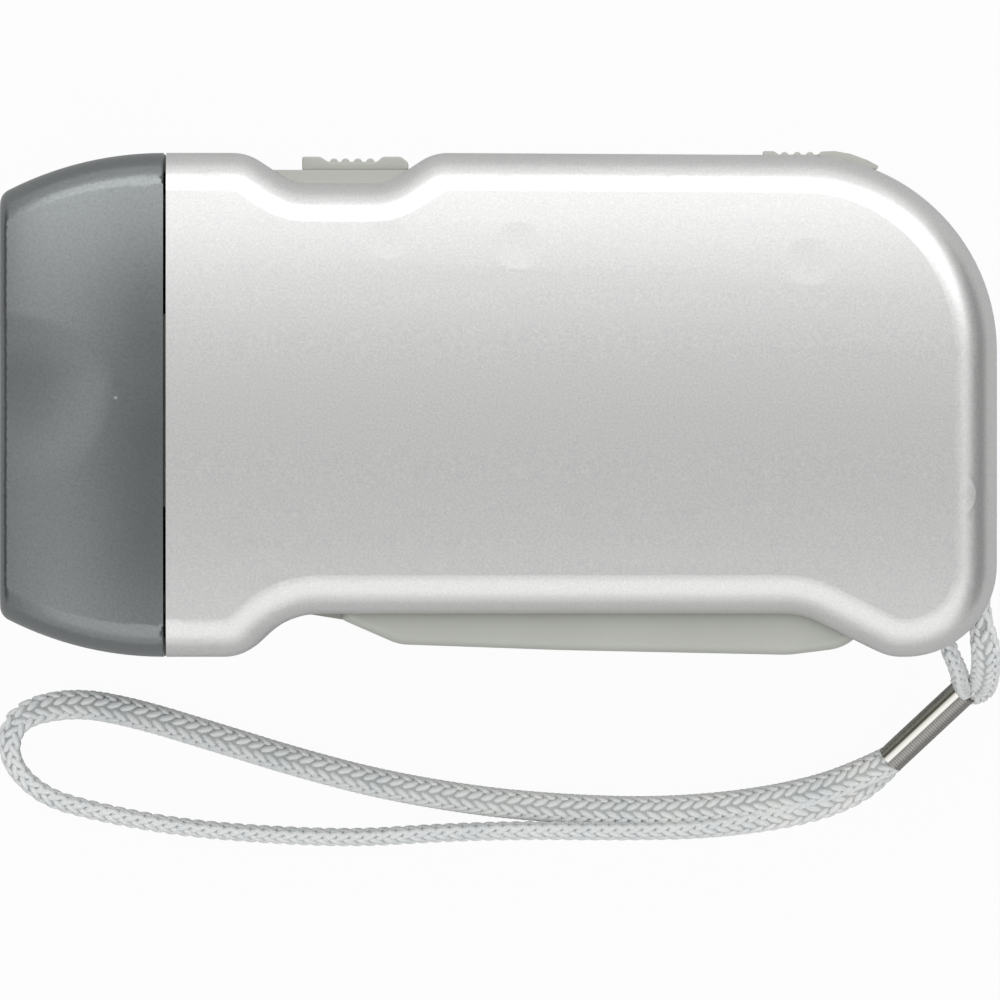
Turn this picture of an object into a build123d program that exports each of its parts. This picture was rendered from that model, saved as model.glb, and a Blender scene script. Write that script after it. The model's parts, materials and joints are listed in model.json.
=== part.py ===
from build123d import *
import math
import os

# Squeeze-lever dynamo torch, lying on its right side with its wrist strap beside it.
# Millimetres. +X runs from the lamp head to the strap end, +Y from the lever to the
# switch, +Z from the side it lies on to the side that faces up. Z = 0 is the surface.

os.makedirs("parts", exist_ok=True)

# ---------------------------------------------------------------- driving dimensions
# Overall body
front_x = -52.1              # face of the lamp head
rear_x = 52.15               # rear end of the shells
top_y = 26.2                 # switch side
top_slope = 0.35             # how much lower the top edge ends at the rear
bottom_y = -26.5             # lever side
thickness = 40.0
crown_radius = 180.0         # large radius of both side faces
land_depth = 0.06            # the crown is cut flat this deep where the torch lies
edge_radius = 4.5            # rounding between side faces and edges
wall = 1.8
rear_top_radius = 20.5
rear_bottom_radius = 9.6

# Seam between head and shells
seam_x = -34.85
seam_gap = 0.3

# Switch recess in the top edge
recess_front = -23.8         # middle of the front slope
recess_rear = -9.2           # middle of the rear slope
recess_depth = 3.2
recess_slope = 2.4           # half length of each slope along X
recess_radius = 5.2

# Lever recess in the bottom edge
lever_recess_y = -22.0
lever_recess_front = -24.2   # middle of the front slope
lever_recess_rear = 36.3     # middle of the rear slope
lever_slope_front = 2.4
lever_slope_rear = 4.6
lever_slope_radius = 8.0

# Running and seating clearances
run_gap = 0.05               # radial, shaft in bore
side_gap = 0.3               # between faces that pass each other
seat_gap = 0.02              # between a pin and the plate it is pressed into

# Lever and its pivot
pivot_x = -24.0
pivot_y = -18.5
pivot_pin_radius = 1.5
pivot_boss_radius = 3.3
lever_boss_radius = 3.6
lever_margin = 6.0           # from the side faces to the wide grip
lever_arm_margin = 10.0      # from the side faces to the narrow arms
lever_wall = 2.0
lever_open_angle = 26.0
lever_rear_x = 39.2
lever_round = 1.0

# Gear train
gear_z = 17.0                # underside of the drive sector
sector_thickness = 3.0
pressure_angle = 20.0
addendum_share = 0.85
dedendum_share = 1.15
backlash = 0.14
module_1 = 0.9
sector_teeth_full = 68
sector_first_tooth = -1
sector_last_tooth = 6
pinion_1_teeth = 10
module_2 = 0.6
wheel_1_teeth = 44
pinion_2_teeth = 11
module_3 = 0.5
wheel_2_teeth = 40
rotor_pinion_teeth = 10
angle_0_1 = 25.0             # direction from pivot to first gear
angle_1_2 = 15.0             # from first gear to second gear
angle_2_3 = 0.0              # from second gear to rotor
axle_radius = 1.0
wheel_thickness = 2.6
plate_thickness = 1.5
lower_plate_z = 14.5
upper_plate_z = 31.0
post_radius = 1.7
screw_radius = 0.9

# Dynamo
flywheel_radius = 10.2
flywheel_thickness = 3.6
magnet_radius = 6.0
magnet_height = 6.0
stator_radius = 10.6
stator_base_z = 5.0
stator_height = 9.0
stator_sheet = 0.8
claw_count = 6

# Lamp
lamp_opening_height = 37.0
lamp_opening_width = 29.0
lens_thickness = 1.6
lens_recess = 1.2
led_radius = 2.5
bowl_radius = 6.6
led_spots = [(7.2, 0.0), (-5.4, -7.1), (-5.4, 7.1)]   # up, across

# Battery
cell_radius = 10.0
cell_thickness = 3.2
cell_x = -20.5
cell_y = 5.0
board_z = 27.3
board_thickness = 1.2

# Switch
knob_front = -20.6
knob_rear = -9.4
knob_width = 10.0
knob_rise = 1.55
plate_rise = 1.45
switch_travel = 2.6
knob_rib_pitch = 1.3

# Lever lock
lock_front = 27.8
lock_rear = 39.9
lock_width = 10.0
lock_travel = 2.0
lock_rise = 0.45
lock_arm_x = 40.7
lock_arm_length = 1.9
lock_arm_z = 22.8
lock_arm_thickness = 2.6

# Strap
bar_x = 48.6
bar_y = -20.8
bar_radius = 1.0
notch_width = 8.0
cord_radius = 1.1

# ---------------------------------------------------------------- derived places
mid_z = thickness / 2
mid_y = (top_y + bottom_y) / 2
shell_front_x = seam_x + seam_gap / 2
head_rear_x = seam_x - seam_gap / 2
half_height = thickness / 2 + land_depth


def polar_point(start, radius, angle):
    """The point that lies radius away from start, in the direction angle."""
    turn = math.radians(angle)
    return (start[0] + radius * math.cos(turn), start[1] + radius * math.sin(turn))


pivot = (pivot_x, pivot_y)
sector_radius = module_1 * sector_teeth_full / 2
distance_1 = module_1 * (sector_teeth_full + pinion_1_teeth) / 2
distance_2 = module_2 * (wheel_1_teeth + pinion_2_teeth) / 2
distance_3 = module_3 * (wheel_2_teeth + rotor_pinion_teeth) / 2
gear_1 = polar_point(pivot, distance_1, angle_0_1)
gear_2 = polar_point(gear_1, distance_2, angle_1_2)
rotor = polar_point(gear_2, distance_3, angle_2_3)


def finish(part, name):
    """Label a finished piece and write it."""
    part.label = name
    export_step(part, f"parts/{name}.step")


# ---------------------------------------------------------------- shared outlines
def body_outline(front):
    """Side outline of the shells, with the switch recess above and the lever recess below."""
    dip = top_y - recess_depth
    drop = bottom_y - lever_recess_y
    with BuildSketch() as outline:
        with BuildLine():
            FilletPolyline(
                (front, top_y),
                (recess_front - recess_slope, top_y),
                (recess_front + recess_slope, dip),
                (recess_rear - recess_slope, dip),
                (recess_rear + recess_slope, top_y),
                (rear_x, top_y - top_slope),
                (rear_x, bottom_y),
                (lever_recess_rear + lever_slope_rear, bottom_y),
                (lever_recess_rear - lever_slope_rear, bottom_y - drop),
                (lever_recess_front + lever_slope_front, bottom_y - drop),
                (lever_recess_front - lever_slope_front, bottom_y),
                (front, bottom_y),
                radius=[
                    recess_radius,
                    recess_radius,
                    recess_radius,
                    recess_radius,
                    rear_top_radius,
                    rear_bottom_radius,
                    recess_radius,
                    lever_slope_radius,
                    lever_slope_radius,
                    recess_radius,
                ],
            )
            Line((front, bottom_y), (front, top_y))
        make_face()
    return outline.sketch


def body_blank(inset):
    """The crowned and rounded body, drawn in by inset on every side."""
    front = shell_front_x - wall
    radius = crown_radius - inset
    rise = half_height - inset
    with BuildPart() as blank:
        with BuildSketch():
            add(body_outline(front))
            if inset:
                offset(amount=-inset)
        extrude(amount=thickness * 2)
        with BuildSketch(Plane.YZ.offset(front)):
            with Locations((mid_y, mid_z + rise - radius)):
                Circle(radius)
            with Locations((mid_y, mid_z - rise + radius)):
                Circle(radius, mode=Mode.INTERSECT)
        extrude(amount=rear_x - front, mode=Mode.INTERSECT)
        side_edges = [
            edge
            for edge in blank.edges()
            if edge.bounding_box().size.X + edge.bounding_box().size.Y > wall / 10
            and edge.center().X > blank.part.bounding_box().min.X + wall / 10
        ]
        fillet(side_edges, radius=edge_radius - inset)
    return blank.part


outer_body = body_blank(0)
inner_body = body_blank(wall)

# ---------------------------------------------------------------- shells
screw_spots = [(-30.2, 21.2), (-31.3, -21.0), (19.0, 21.4), (47.4, -9.5)]
boss_radius = 2.5
post_spots = [(2.0, 16.5), (32.5, 14.8), (28.0, -12.8)]
board_post_spots = [(-30.5, -7.0), (-11.5, 17.0)]
slot_front = lever_recess_front - 1.2
slot_rear = lever_rear_x + 0.7
slot_margin = lever_margin - side_gap
window_front = -21.0
window_rear = -11.6
window_width = 12.0
lock_slot_front = 30.0
lock_slot_rear = 36.6
lock_slot_width = 6.0
spring_wire = 0.5
spring_peg = (-11.5, -8.3)
board_top_z = board_z + board_thickness


def hollow_body():
    """The two shells as one hollow body, with every opening that crosses the parting."""
    with BuildPart() as openings:
        # everything in front of the seam belongs to the lamp head
        with BuildSketch(Plane.YZ.offset(shell_front_x - wall * 2)):
            with Locations((mid_y, mid_z)):
                Rectangle(top_y - bottom_y + 2 * wall, thickness + 2 * wall)
        extrude(amount=wall * 2)
        # slot for the lever
        with BuildSketch(Plane.XY.offset(slot_margin)):
            with Locations(((slot_front + slot_rear) / 2, bottom_y)):
                Rectangle(slot_rear - slot_front, 2 * (lever_recess_y + wall + 0.4 - bottom_y))
        extrude(amount=thickness - 2 * slot_margin)
        # window for the switch and slot for the lever lock
        with BuildSketch(Plane.XZ.offset(-top_y - 1)):
            with Locations(((window_front + window_rear) / 2, mid_z)):
                Rectangle(window_rear - window_front, window_width)
            with Locations(((lock_slot_front + lock_slot_rear) / 2, mid_z)):
                Rectangle(lock_slot_rear - lock_slot_front, lock_slot_width)
        extrude(amount=recess_depth + wall + 2)
        # notch that the strap passes through
        with BuildSketch(Plane.XY.offset(mid_z - notch_width / 2)):
            with Locations((rear_x, bottom_y)):
                Rectangle(2 * (rear_x - bar_x + 3.6), 2 * (bar_y + 3.6 - bottom_y))
        extrude(amount=notch_width)
    with BuildPart() as hollow:
        add(outer_body)
        add(inner_body, mode=Mode.SUBTRACT)
        add(openings.part, mode=Mode.SUBTRACT)
    return hollow.part


def shell_half(name, side, seats, screw_cuts):
    """One moulded half with its seats: side is 1 for the upper half, -1 for the lower."""
    low = mid_z if side == 1 else 0
    with BuildPart() as pillars:
        for spot, radius, start, end in seats:
            with BuildSketch(Plane.XY.offset(start)):
                with Locations(spot):
                    Circle(radius)
            extrude(amount=end - start)
        add(outer_body, mode=Mode.INTERSECT)
    with BuildPart() as half:
        with BuildSketch(Plane.XY.offset(low)):
            Rectangle(4 * rear_x, 4 * top_y)
        extrude(amount=mid_z + (land_depth if side == 1 else 0))
        add(body_shell, mode=Mode.INTERSECT)
        add(pillars.part)
        add(screw_cuts, mode=Mode.SUBTRACT)
    finish(half.part, name)


def bores(holes):
    """Round holes, each given by its spot, radius, level and depth."""
    with BuildPart() as drilled:
        for spot, radius, start, depth in holes:
            with BuildSketch(Plane.XY.offset(start)):
                with Locations(spot):
                    Circle(radius)
            extrude(amount=depth)
    return drilled.part


screw_head_radius = 1.7
screw_seat_z = 6.0
screw_length = 18.0
seat_depth = 5.0             # how deep the pivot pin and the strap bar sit in their bosses
arm_level = lever_arm_margin - side_gap
notch_low = mid_z - notch_width / 2
notch_high = mid_z + notch_width / 2
plate_level = upper_plate_z + plate_thickness
stand_radius = post_radius + 0.8
bar_boss_radius = 2.6
body_shell = hollow_body()

lower_seats = [
    *[(spot, boss_radius, 0, mid_z) for spot in screw_spots],
    *[(spot, stand_radius, 0, lower_plate_z) for spot in post_spots],
    (pivot, pivot_boss_radius, 0, arm_level),
    (rotor, 3.0, 0, stator_base_z),
    (spring_peg, 1.4, 0, lower_plate_z + 1.2),
    ((bar_x, bar_y), bar_boss_radius, 0, notch_low),
]
lower_holes = [
    *[(spot, screw_radius + 0.15, -1, mid_z + 2) for spot in screw_spots],
    *[(spot, screw_head_radius + 0.2, -1, screw_seat_z + 1) for spot in screw_spots],
    *[(spot, screw_radius, lower_plate_z, -seat_depth - 1) for spot in post_spots],
    (pivot, pivot_pin_radius + seat_gap, arm_level, -seat_depth),
    (rotor, axle_radius + run_gap, stator_base_z, -2.4),
    ((bar_x, bar_y), bar_radius + seat_gap, notch_low, -seat_depth),
]
upper_seats = [
    *[(spot, boss_radius, mid_z, thickness) for spot in screw_spots],
    *[(spot, stand_radius, plate_level, thickness) for spot in post_spots],
    *[(spot, 2.0, board_top_z, thickness) for spot in board_post_spots],
    (pivot, pivot_boss_radius, thickness - arm_level, thickness),
    ((bar_x, bar_y), bar_boss_radius, notch_high, thickness),
]
upper_holes = [
    *[(spot, screw_radius, mid_z, screw_seat_z + screw_length - mid_z + 1) for spot in screw_spots],
    *[(spot, screw_head_radius, plate_level, 1.6) for spot in post_spots],
    *[(spot, screw_radius, board_top_z, 4.0) for spot in board_post_spots],
    (pivot, pivot_pin_radius + seat_gap, thickness - arm_level, seat_depth),
    ((bar_x, bar_y), bar_radius + seat_gap, notch_high, seat_depth),
]
shell_half("right_shell", -1, lower_seats, bores(lower_holes))
shell_half("left_shell", 1, upper_seats, bores(upper_holes))

# screws that hold the two halves
with BuildPart() as shell_screws:
    with BuildSketch(Plane.XY.offset(screw_seat_z)):
        with Locations(*screw_spots):
            Circle(screw_radius - seat_gap)
    extrude(amount=screw_length)
    with BuildSketch(Plane.XY.offset(screw_seat_z)):
        with Locations(*screw_spots):
            Circle(screw_head_radius)
    extrude(amount=-1.4)
    with BuildSketch(Plane.XY.offset(screw_seat_z - 1.4)):
        with Locations(*screw_spots):
            Rectangle(2.2, 0.5)
            Rectangle(0.5, 2.2)
    extrude(amount=0.7, mode=Mode.SUBTRACT)
finish(shell_screws.part, "shell_screws")

with BuildPart() as lever_pivot_pin:
    with BuildSketch(Plane.XY.offset(arm_level - seat_depth)):
        with Locations(pivot):
            Circle(pivot_pin_radius)
    extrude(amount=thickness - 2 * (arm_level - seat_depth))
finish(lever_pivot_pin.part, "lever_pivot_pin")

with BuildPart() as strap_bar:
    with BuildSketch(Plane.XY.offset(notch_low - seat_depth)):
        with Locations((bar_x, bar_y)):
            Circle(bar_radius)
    extrude(amount=notch_width + 2 * seat_depth)
finish(strap_bar.part, "strap_bar")

# ---------------------------------------------------------------- lamp head
head_taper_radius = 36.0     # top and bottom edges fall in along this arc
head_side_radius = 50.0      # side faces fall in along this arc
head_reach = head_rear_x - front_x
head_wall = 2.0
rim_radius = 1.6
spigot_length = 1.1
spigot_wall = 1.5
spigot_height = top_y - bottom_y - 2 * (wall + side_gap)
spigot_width = thickness - 2 * (wall + side_gap) - 2 * 26.0**2 / (2 * crown_radius)
scoop_radius = 18.0
scoop_depth = 1.0
scoop_spot = (-47.2, 1.4)


def head_section_revolved(side, inset):
    """Half space under one side face, which falls in towards the front."""
    rise = half_height - inset
    radius = crown_radius - inset
    turn_level = mid_z + side * (rise - head_side_radius)
    axis = Axis((head_rear_x, 0, turn_level), (0, 1, 0))
    with BuildPart() as turned:
        with BuildSketch(Plane.YZ.offset(head_rear_x)):
            with Locations((mid_y, mid_z + side * (rise - radius))):
                Circle(radius)
            with Locations((mid_y, turn_level + side * head_side_radius / 2)):
                Rectangle(80, head_side_radius, mode=Mode.INTERSECT)
        revolve(axis=axis, revolution_arc=-side * 90.0)
    return turned.part


def head_blank(inset):
    """The tapered head, drawn in by inset."""
    fall = head_taper_radius - math.sqrt(head_taper_radius**2 - head_reach**2)
    half_fall = head_taper_radius - math.sqrt(head_taper_radius**2 - head_reach**2 / 4)
    middle = head_rear_x - head_reach / 2
    with BuildPart() as blank:
        with BuildSketch():
            with BuildLine():
                ThreePointArc(
                    (head_rear_x, top_y), (middle, top_y - half_fall), (front_x, top_y - fall)
                )
                Line((front_x, top_y - fall), (front_x, bottom_y + fall))
                ThreePointArc(
                    (front_x, bottom_y + fall),
                    (middle, bottom_y + half_fall),
                    (head_rear_x, bottom_y),
                )
                Line((head_rear_x, bottom_y), (head_rear_x, top_y))
            make_face()
            if inset:
                offset(amount=-inset)
        extrude(amount=thickness * 2)
        add(head_section_revolved(1, inset), mode=Mode.INTERSECT)
        add(head_section_revolved(-1, inset), mode=Mode.INTERSECT)
        long_edges = [
            edge
            for edge in blank.edges()
            if edge.bounding_box().size.X > head_reach / 2
        ]
        fillet(long_edges, radius=edge_radius - inset)
    return blank.part


with BuildPart() as head_housing:
    add(head_blank(0))
    fillet(head_housing.faces().sort_by(Axis.X)[0].edges(), radius=rim_radius)
    add(head_blank(head_wall), mode=Mode.SUBTRACT)
    # front opening for the lens
    with BuildSketch(Plane.YZ.offset(front_x - 1)):
        with Locations((mid_y, mid_z)):
            RectangleRounded(lamp_opening_height, lamp_opening_width, 9.0)
    extrude(amount=head_wall * 3, mode=Mode.SUBTRACT)
    # finger scoops on both side faces
    for side in (1, -1):
        level = mid_z + side * (half_height - 0.9 - scoop_depth + scoop_radius)
        with Locations((scoop_spot[0], scoop_spot[1], level)):
            Sphere(scoop_radius, mode=Mode.SUBTRACT)
    # spigot that enters the shells
    with BuildSketch(Plane.YZ.offset(head_rear_x - head_wall)):
        with Locations((mid_y, mid_z)):
            RectangleRounded(spigot_height, spigot_width, edge_radius - wall)
    extrude(amount=spigot_length + head_wall)
    with BuildSketch(Plane.YZ.offset(head_rear_x - head_wall)):
        with Locations((mid_y, mid_z)):
            RectangleRounded(
                spigot_height - 2 * spigot_wall, spigot_width - 2 * spigot_wall, edge_radius - wall
            )
    extrude(amount=spigot_length + head_wall, mode=Mode.SUBTRACT)
finish(head_housing.part, "head_housing")

lens_front = front_x + lens_recess
with BuildPart() as lens:
    with BuildSketch(Plane.YZ.offset(lens_front)):
        with Locations((mid_y, mid_z)):
            RectangleRounded(lamp_opening_height - 0.1, lamp_opening_width - 0.1, 8.95)
    extrude(amount=lens_thickness)
finish(lens.part, "lens")

reflector_front = lens_front + lens_thickness
reflector_depth = 8.0
with BuildPart() as reflector:
    with BuildSketch(Plane.YZ.offset(reflector_front)):
        with Locations((mid_y, mid_z)):
            RectangleRounded(lamp_opening_height - 0.1, lamp_opening_width - 0.1, 8.95)
    extrude(amount=reflector_depth)
    for up, across in led_spots:
        with BuildSketch(Plane.YZ.offset(reflector_front)) as bowl_mouth:
            with Locations((mid_y + up, mid_z + across)):
                Circle(bowl_radius)
        with BuildSketch(Plane.YZ.offset(reflector_front + reflector_depth)) as bowl_neck:
            with Locations((mid_y + up, mid_z + across)):
                Circle(led_radius + 0.5)
        loft(mode=Mode.SUBTRACT)
finish(reflector.part, "reflector")

led_board_x = reflector_front + reflector_depth
with BuildPart() as led_board:
    with BuildSketch(Plane.YZ.offset(led_board_x)):
        with Locations((mid_y, mid_z)):
            RectangleRounded(lamp_opening_height - 3, lamp_opening_width - 1, 7.0)
    extrude(amount=board_thickness)
finish(led_board.part, "led_board")

with BuildPart() as leds:
    for up, across in led_spots:
        with BuildSketch(Plane.YZ.offset(led_board_x)):
            with Locations((mid_y + up, mid_z + across)):
                Circle(led_radius)
        extrude(amount=-3.5)
        with Locations((led_board_x - 3.5, mid_y + up, mid_z + across)):
            Sphere(led_radius)
finish(leds.part, "leds")

# posts that carry the lamp board on the spigot's back wall
with BuildPart() as lamp_carrier:
    with BuildSketch(Plane.YZ.offset(led_board_x + board_thickness)):
        with Locations((mid_y, mid_z)):
            RectangleRounded(lamp_opening_height + 3, lamp_opening_width - 1, 7.0)
            RectangleRounded(
                lamp_opening_height - 6, lamp_opening_width - 8, 4.0, mode=Mode.SUBTRACT
            )
    extrude(amount=head_rear_x + spigot_length - led_board_x - board_thickness)
finish(lamp_carrier.part, "lamp_carrier")


# ---------------------------------------------------------------- gears
def tooth_points(centre, module, teeth, angle):
    """One involute tooth that points in the direction angle, root to root."""
    pitch = module * teeth / 2
    base = pitch * math.cos(math.radians(pressure_angle))
    tip = pitch + addendum_share * module
    root = pitch - dedendum_share * module
    half = math.pi / (2 * teeth) - backlash / (2 * pitch)
    rolled = math.tan(math.radians(pressure_angle)) - math.radians(pressure_angle)
    flank = []
    for radius in (max(base, root + 0.05), (max(base, root) + tip) / 2, tip):
        slope = math.acos(min(1.0, base / radius))
        spread = half + rolled - (math.tan(slope) - slope)
        flank.append((radius, math.degrees(spread)))
    foot = flank[0][1]
    right = [polar_point(centre, root, angle - foot)]
    right += [polar_point(centre, radius, angle - spread) for radius, spread in flank]
    left = [polar_point(centre, radius, angle + spread) for radius, spread in reversed(flank)]
    left += [polar_point(centre, root, angle + foot)]
    return right + left


def gear_profile(centre, module, teeth, phase):
    """The outline of a whole gear wheel."""
    points = []
    for count in range(teeth):
        points += tooth_points(centre, module, teeth, phase + count * 360 / teeth)
    with BuildSketch() as profile:
        with BuildLine():
            Polyline(*points, close=True)
        make_face()
    return profile.sketch


pinion_1_phase = angle_0_1 + 180 + 180 / pinion_1_teeth
wheel_1_phase = angle_1_2
pinion_2_phase = angle_1_2 + 180 + 180 / pinion_2_teeth
wheel_2_phase = angle_2_3
rotor_pinion_phase = angle_2_3 + 180 + 180 / rotor_pinion_teeth
wheel_1_z = gear_z + sector_thickness + 2.0
wheel_2_z = wheel_1_z + wheel_thickness + 2.4
pinion_1_profile = gear_profile(gear_1, module_1, pinion_1_teeth, pinion_1_phase)
wheel_1_profile = gear_profile(gear_1, module_2, wheel_1_teeth, wheel_1_phase)
pinion_2_profile = gear_profile(gear_2, module_2, pinion_2_teeth, pinion_2_phase)
wheel_2_profile = gear_profile(gear_2, module_3, wheel_2_teeth, wheel_2_phase)
rotor_pinion_profile = gear_profile(rotor, module_3, rotor_pinion_teeth, rotor_pinion_phase)
low_bearing_z = lower_plate_z + plate_thickness + side_gap
high_bearing_z = upper_plate_z - side_gap

with BuildPart() as pinion_1:
    with BuildSketch(Plane.XY.offset(low_bearing_z)):
        add(pinion_1_profile)
    extrude(amount=wheel_1_z - low_bearing_z)
    with BuildSketch(Plane.XY.offset(wheel_1_z)):
        with Locations(gear_1):
            Circle(2.6)
    extrude(amount=high_bearing_z - wheel_1_z)
    with BuildSketch(Plane.XY.offset(low_bearing_z)):
        with Locations(gear_1):
            Circle(axle_radius + run_gap)
    extrude(amount=high_bearing_z - low_bearing_z, mode=Mode.SUBTRACT)
finish(pinion_1.part, "pinion_1")

with BuildPart() as wheel_1:
    with BuildSketch(Plane.XY.offset(wheel_1_z)):
        add(wheel_1_profile)
        with Locations(gear_1):
            Circle(2.6 + seat_gap, mode=Mode.SUBTRACT)
        with Locations(gear_1):
            with PolarLocations(7.6, 5):
                Circle(2.4, mode=Mode.SUBTRACT)
    extrude(amount=wheel_thickness)
finish(wheel_1.part, "wheel_1")

with BuildPart() as pinion_2:
    with BuildSketch(Plane.XY.offset(wheel_1_z - 1.5)):
        add(pinion_2_profile)
    extrude(amount=wheel_2_z - wheel_1_z + 1.5)
    with BuildSketch(Plane.XY.offset(wheel_2_z)):
        with Locations(gear_2):
            Circle(2.1)
    extrude(amount=high_bearing_z - wheel_2_z)
    with BuildSketch(Plane.XY.offset(low_bearing_z)):
        with Locations(gear_2):
            Circle(2.1)
    extrude(amount=wheel_1_z - 1.5 - low_bearing_z)
    with BuildSketch(Plane.XY.offset(low_bearing_z)):
        with Locations(gear_2):
            Circle(axle_radius + run_gap)
    extrude(amount=high_bearing_z - low_bearing_z, mode=Mode.SUBTRACT)
finish(pinion_2.part, "pinion_2")

with BuildPart() as wheel_2:
    with BuildSketch(Plane.XY.offset(wheel_2_z)):
        add(wheel_2_profile)
        with Locations(gear_2):
            Circle(2.1 + seat_gap, mode=Mode.SUBTRACT)
    extrude(amount=wheel_thickness)
finish(wheel_2.part, "wheel_2")

for name, spot in (("gear_1_axle", gear_1), ("gear_2_axle", gear_2)):
    with BuildPart() as axle:
        with BuildSketch(Plane.XY.offset(lower_plate_z)):
            with Locations(spot):
                Circle(axle_radius)
        extrude(amount=upper_plate_z + plate_thickness - lower_plate_z)
    finish(axle.part, name)

# rotor: shaft, pinion, flywheel and magnet
magnet_z = stator_base_z + 1.6
flywheel_z = low_bearing_z + 0.6
rotor_pinion_z = wheel_2_z - 0.4
with BuildPart() as rotor_shaft:
    with BuildSketch(Plane.XY.offset(stator_base_z - 2.1)):
        with Locations(rotor):
            Circle(axle_radius)
    extrude(amount=upper_plate_z + plate_thickness - stator_base_z + 2.1)
finish(rotor_shaft.part, "rotor_shaft")

with BuildPart() as rotor_pinion:
    with BuildSketch(Plane.XY.offset(rotor_pinion_z)):
        add(rotor_pinion_profile)
        with Locations(rotor):
            Circle(axle_radius + seat_gap, mode=Mode.SUBTRACT)
    extrude(amount=wheel_thickness + 0.7)
finish(rotor_pinion.part, "rotor_pinion")

with BuildPart() as flywheel:
    with BuildSketch(Plane.XY.offset(flywheel_z)):
        with Locations(rotor):
            Circle(flywheel_radius)
            Circle(axle_radius + seat_gap, mode=Mode.SUBTRACT)
    extrude(amount=flywheel_thickness)
    with BuildSketch(Plane.XY.offset(flywheel_z + flywheel_thickness)):
        with Locations(rotor):
            Circle(flywheel_radius - 2.2)
            Circle(2.6, mode=Mode.SUBTRACT)
    extrude(amount=-flywheel_thickness / 2, mode=Mode.SUBTRACT)
finish(flywheel.part, "flywheel")

with BuildPart() as rotor_magnet:
    with BuildSketch(Plane.XY.offset(magnet_z)):
        with Locations(rotor):
            Circle(magnet_radius)
            Circle(axle_radius + seat_gap, mode=Mode.SUBTRACT)
    extrude(amount=magnet_height)
finish(rotor_magnet.part, "rotor_magnet")

# stator: two claw cups round a wound bobbin
claw_ring_radius = magnet_radius + 0.4
bobbin_radius = claw_ring_radius + stator_sheet + 0.2
stator_top_z = stator_base_z + stator_height
claw_length = stator_height - 2 * stator_sheet - 0.8
for name, base, side in (("stator_cup_lower", stator_base_z, 1), ("stator_cup_upper", stator_top_z, -1)):
    half_turn = 0 if side == 1 else 180 / claw_count
    with BuildPart() as stator_cup:
        with BuildSketch(Plane.XY.offset(base)):
            with Locations(rotor):
                Circle(stator_radius)
                Circle(claw_ring_radius, mode=Mode.SUBTRACT)
        extrude(amount=side * stator_sheet)
        with BuildSketch(Plane.XY.offset(base)):
            with Locations(rotor):
                Circle(stator_radius)
                Circle(stator_radius - stator_sheet, mode=Mode.SUBTRACT)
        extrude(amount=side * stator_height / 2)
        with BuildSketch(Plane.XY.offset(base)):
            with Locations(rotor):
                with PolarLocations(
                    claw_ring_radius + stator_sheet / 2, claw_count, start_angle=half_turn
                ):
                    Rectangle(stator_sheet, 2.4)
        extrude(amount=side * (stator_sheet + claw_length))
        # the magnet's bore stays round
        with BuildSketch(Plane.XY.offset(base - stator_height)):
            with Locations(rotor):
                Circle(claw_ring_radius)
        extrude(amount=2 * stator_height, mode=Mode.SUBTRACT)
    finish(stator_cup.part, name)

with BuildPart() as bobbin:
    for level in (stator_base_z + stator_sheet, stator_top_z - 2 * stator_sheet):
        with BuildSketch(Plane.XY.offset(level)):
            with Locations(rotor):
                Circle(stator_radius - stator_sheet - 0.1)
                Circle(bobbin_radius + 0.2, mode=Mode.SUBTRACT)
        extrude(amount=stator_sheet)
    with BuildSketch(Plane.XY.offset(stator_base_z + stator_sheet)):
        with Locations(rotor):
            Circle(bobbin_radius + 0.7)
            Circle(bobbin_radius + 0.2, mode=Mode.SUBTRACT)
    extrude(amount=stator_height - 2 * stator_sheet)
finish(bobbin.part, "bobbin")

with BuildPart() as stator_coil:
    with BuildSketch(Plane.XY.offset(stator_base_z + 2 * stator_sheet)):
        with Locations(rotor):
            Circle(stator_radius - stator_sheet - 0.4)
            Circle(bobbin_radius + 0.7, mode=Mode.SUBTRACT)
    extrude(amount=stator_height - 4 * stator_sheet)
finish(stator_coil.part, "stator_coil")

# gear plates, posts and their screws
plate_corners = [(-2.6, -7.0), (-2.6, 18.6), (34.5, 18.6), (44.4, 6.0), (44.4, -5.0), (31.0, -15.4), (22.0, -15.4)]
for name, level in (("lower_gear_plate", lower_plate_z), ("upper_gear_plate", upper_plate_z)):
    with BuildPart() as gear_plate:
        with BuildSketch(Plane.XY.offset(level)):
            with BuildLine():
                FilletPolyline(*plate_corners, radius=2.2, close=True)
            make_face()
            with Locations(gear_1, gear_2):
                Circle(axle_radius + seat_gap, mode=Mode.SUBTRACT)
            with Locations(rotor):
                Circle(axle_radius + run_gap, mode=Mode.SUBTRACT)
            with Locations(*post_spots):
                Circle(screw_radius + 0.1, mode=Mode.SUBTRACT)
        extrude(amount=plate_thickness)
    finish(gear_plate.part, name)

with BuildPart() as plate_posts:
    with BuildSketch(Plane.XY.offset(lower_plate_z + plate_thickness)):
        with Locations(*post_spots):
            Circle(post_radius)
            Circle(screw_radius + seat_gap, mode=Mode.SUBTRACT)
    extrude(amount=upper_plate_z - lower_plate_z - plate_thickness)
finish(plate_posts.part, "plate_posts")

with BuildPart() as plate_screws:
    with BuildSketch(Plane.XY.offset(lower_plate_z - 5.0)):
        with Locations(*post_spots):
            Circle(screw_radius - seat_gap)
    extrude(amount=upper_plate_z + plate_thickness - lower_plate_z + 5.0)
    with BuildSketch(Plane.XY.offset(upper_plate_z + plate_thickness)):
        with Locations(*post_spots):
            Circle(screw_head_radius - 0.1)
    extrude(amount=1.2)
finish(plate_screws.part, "plate_screws")

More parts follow.
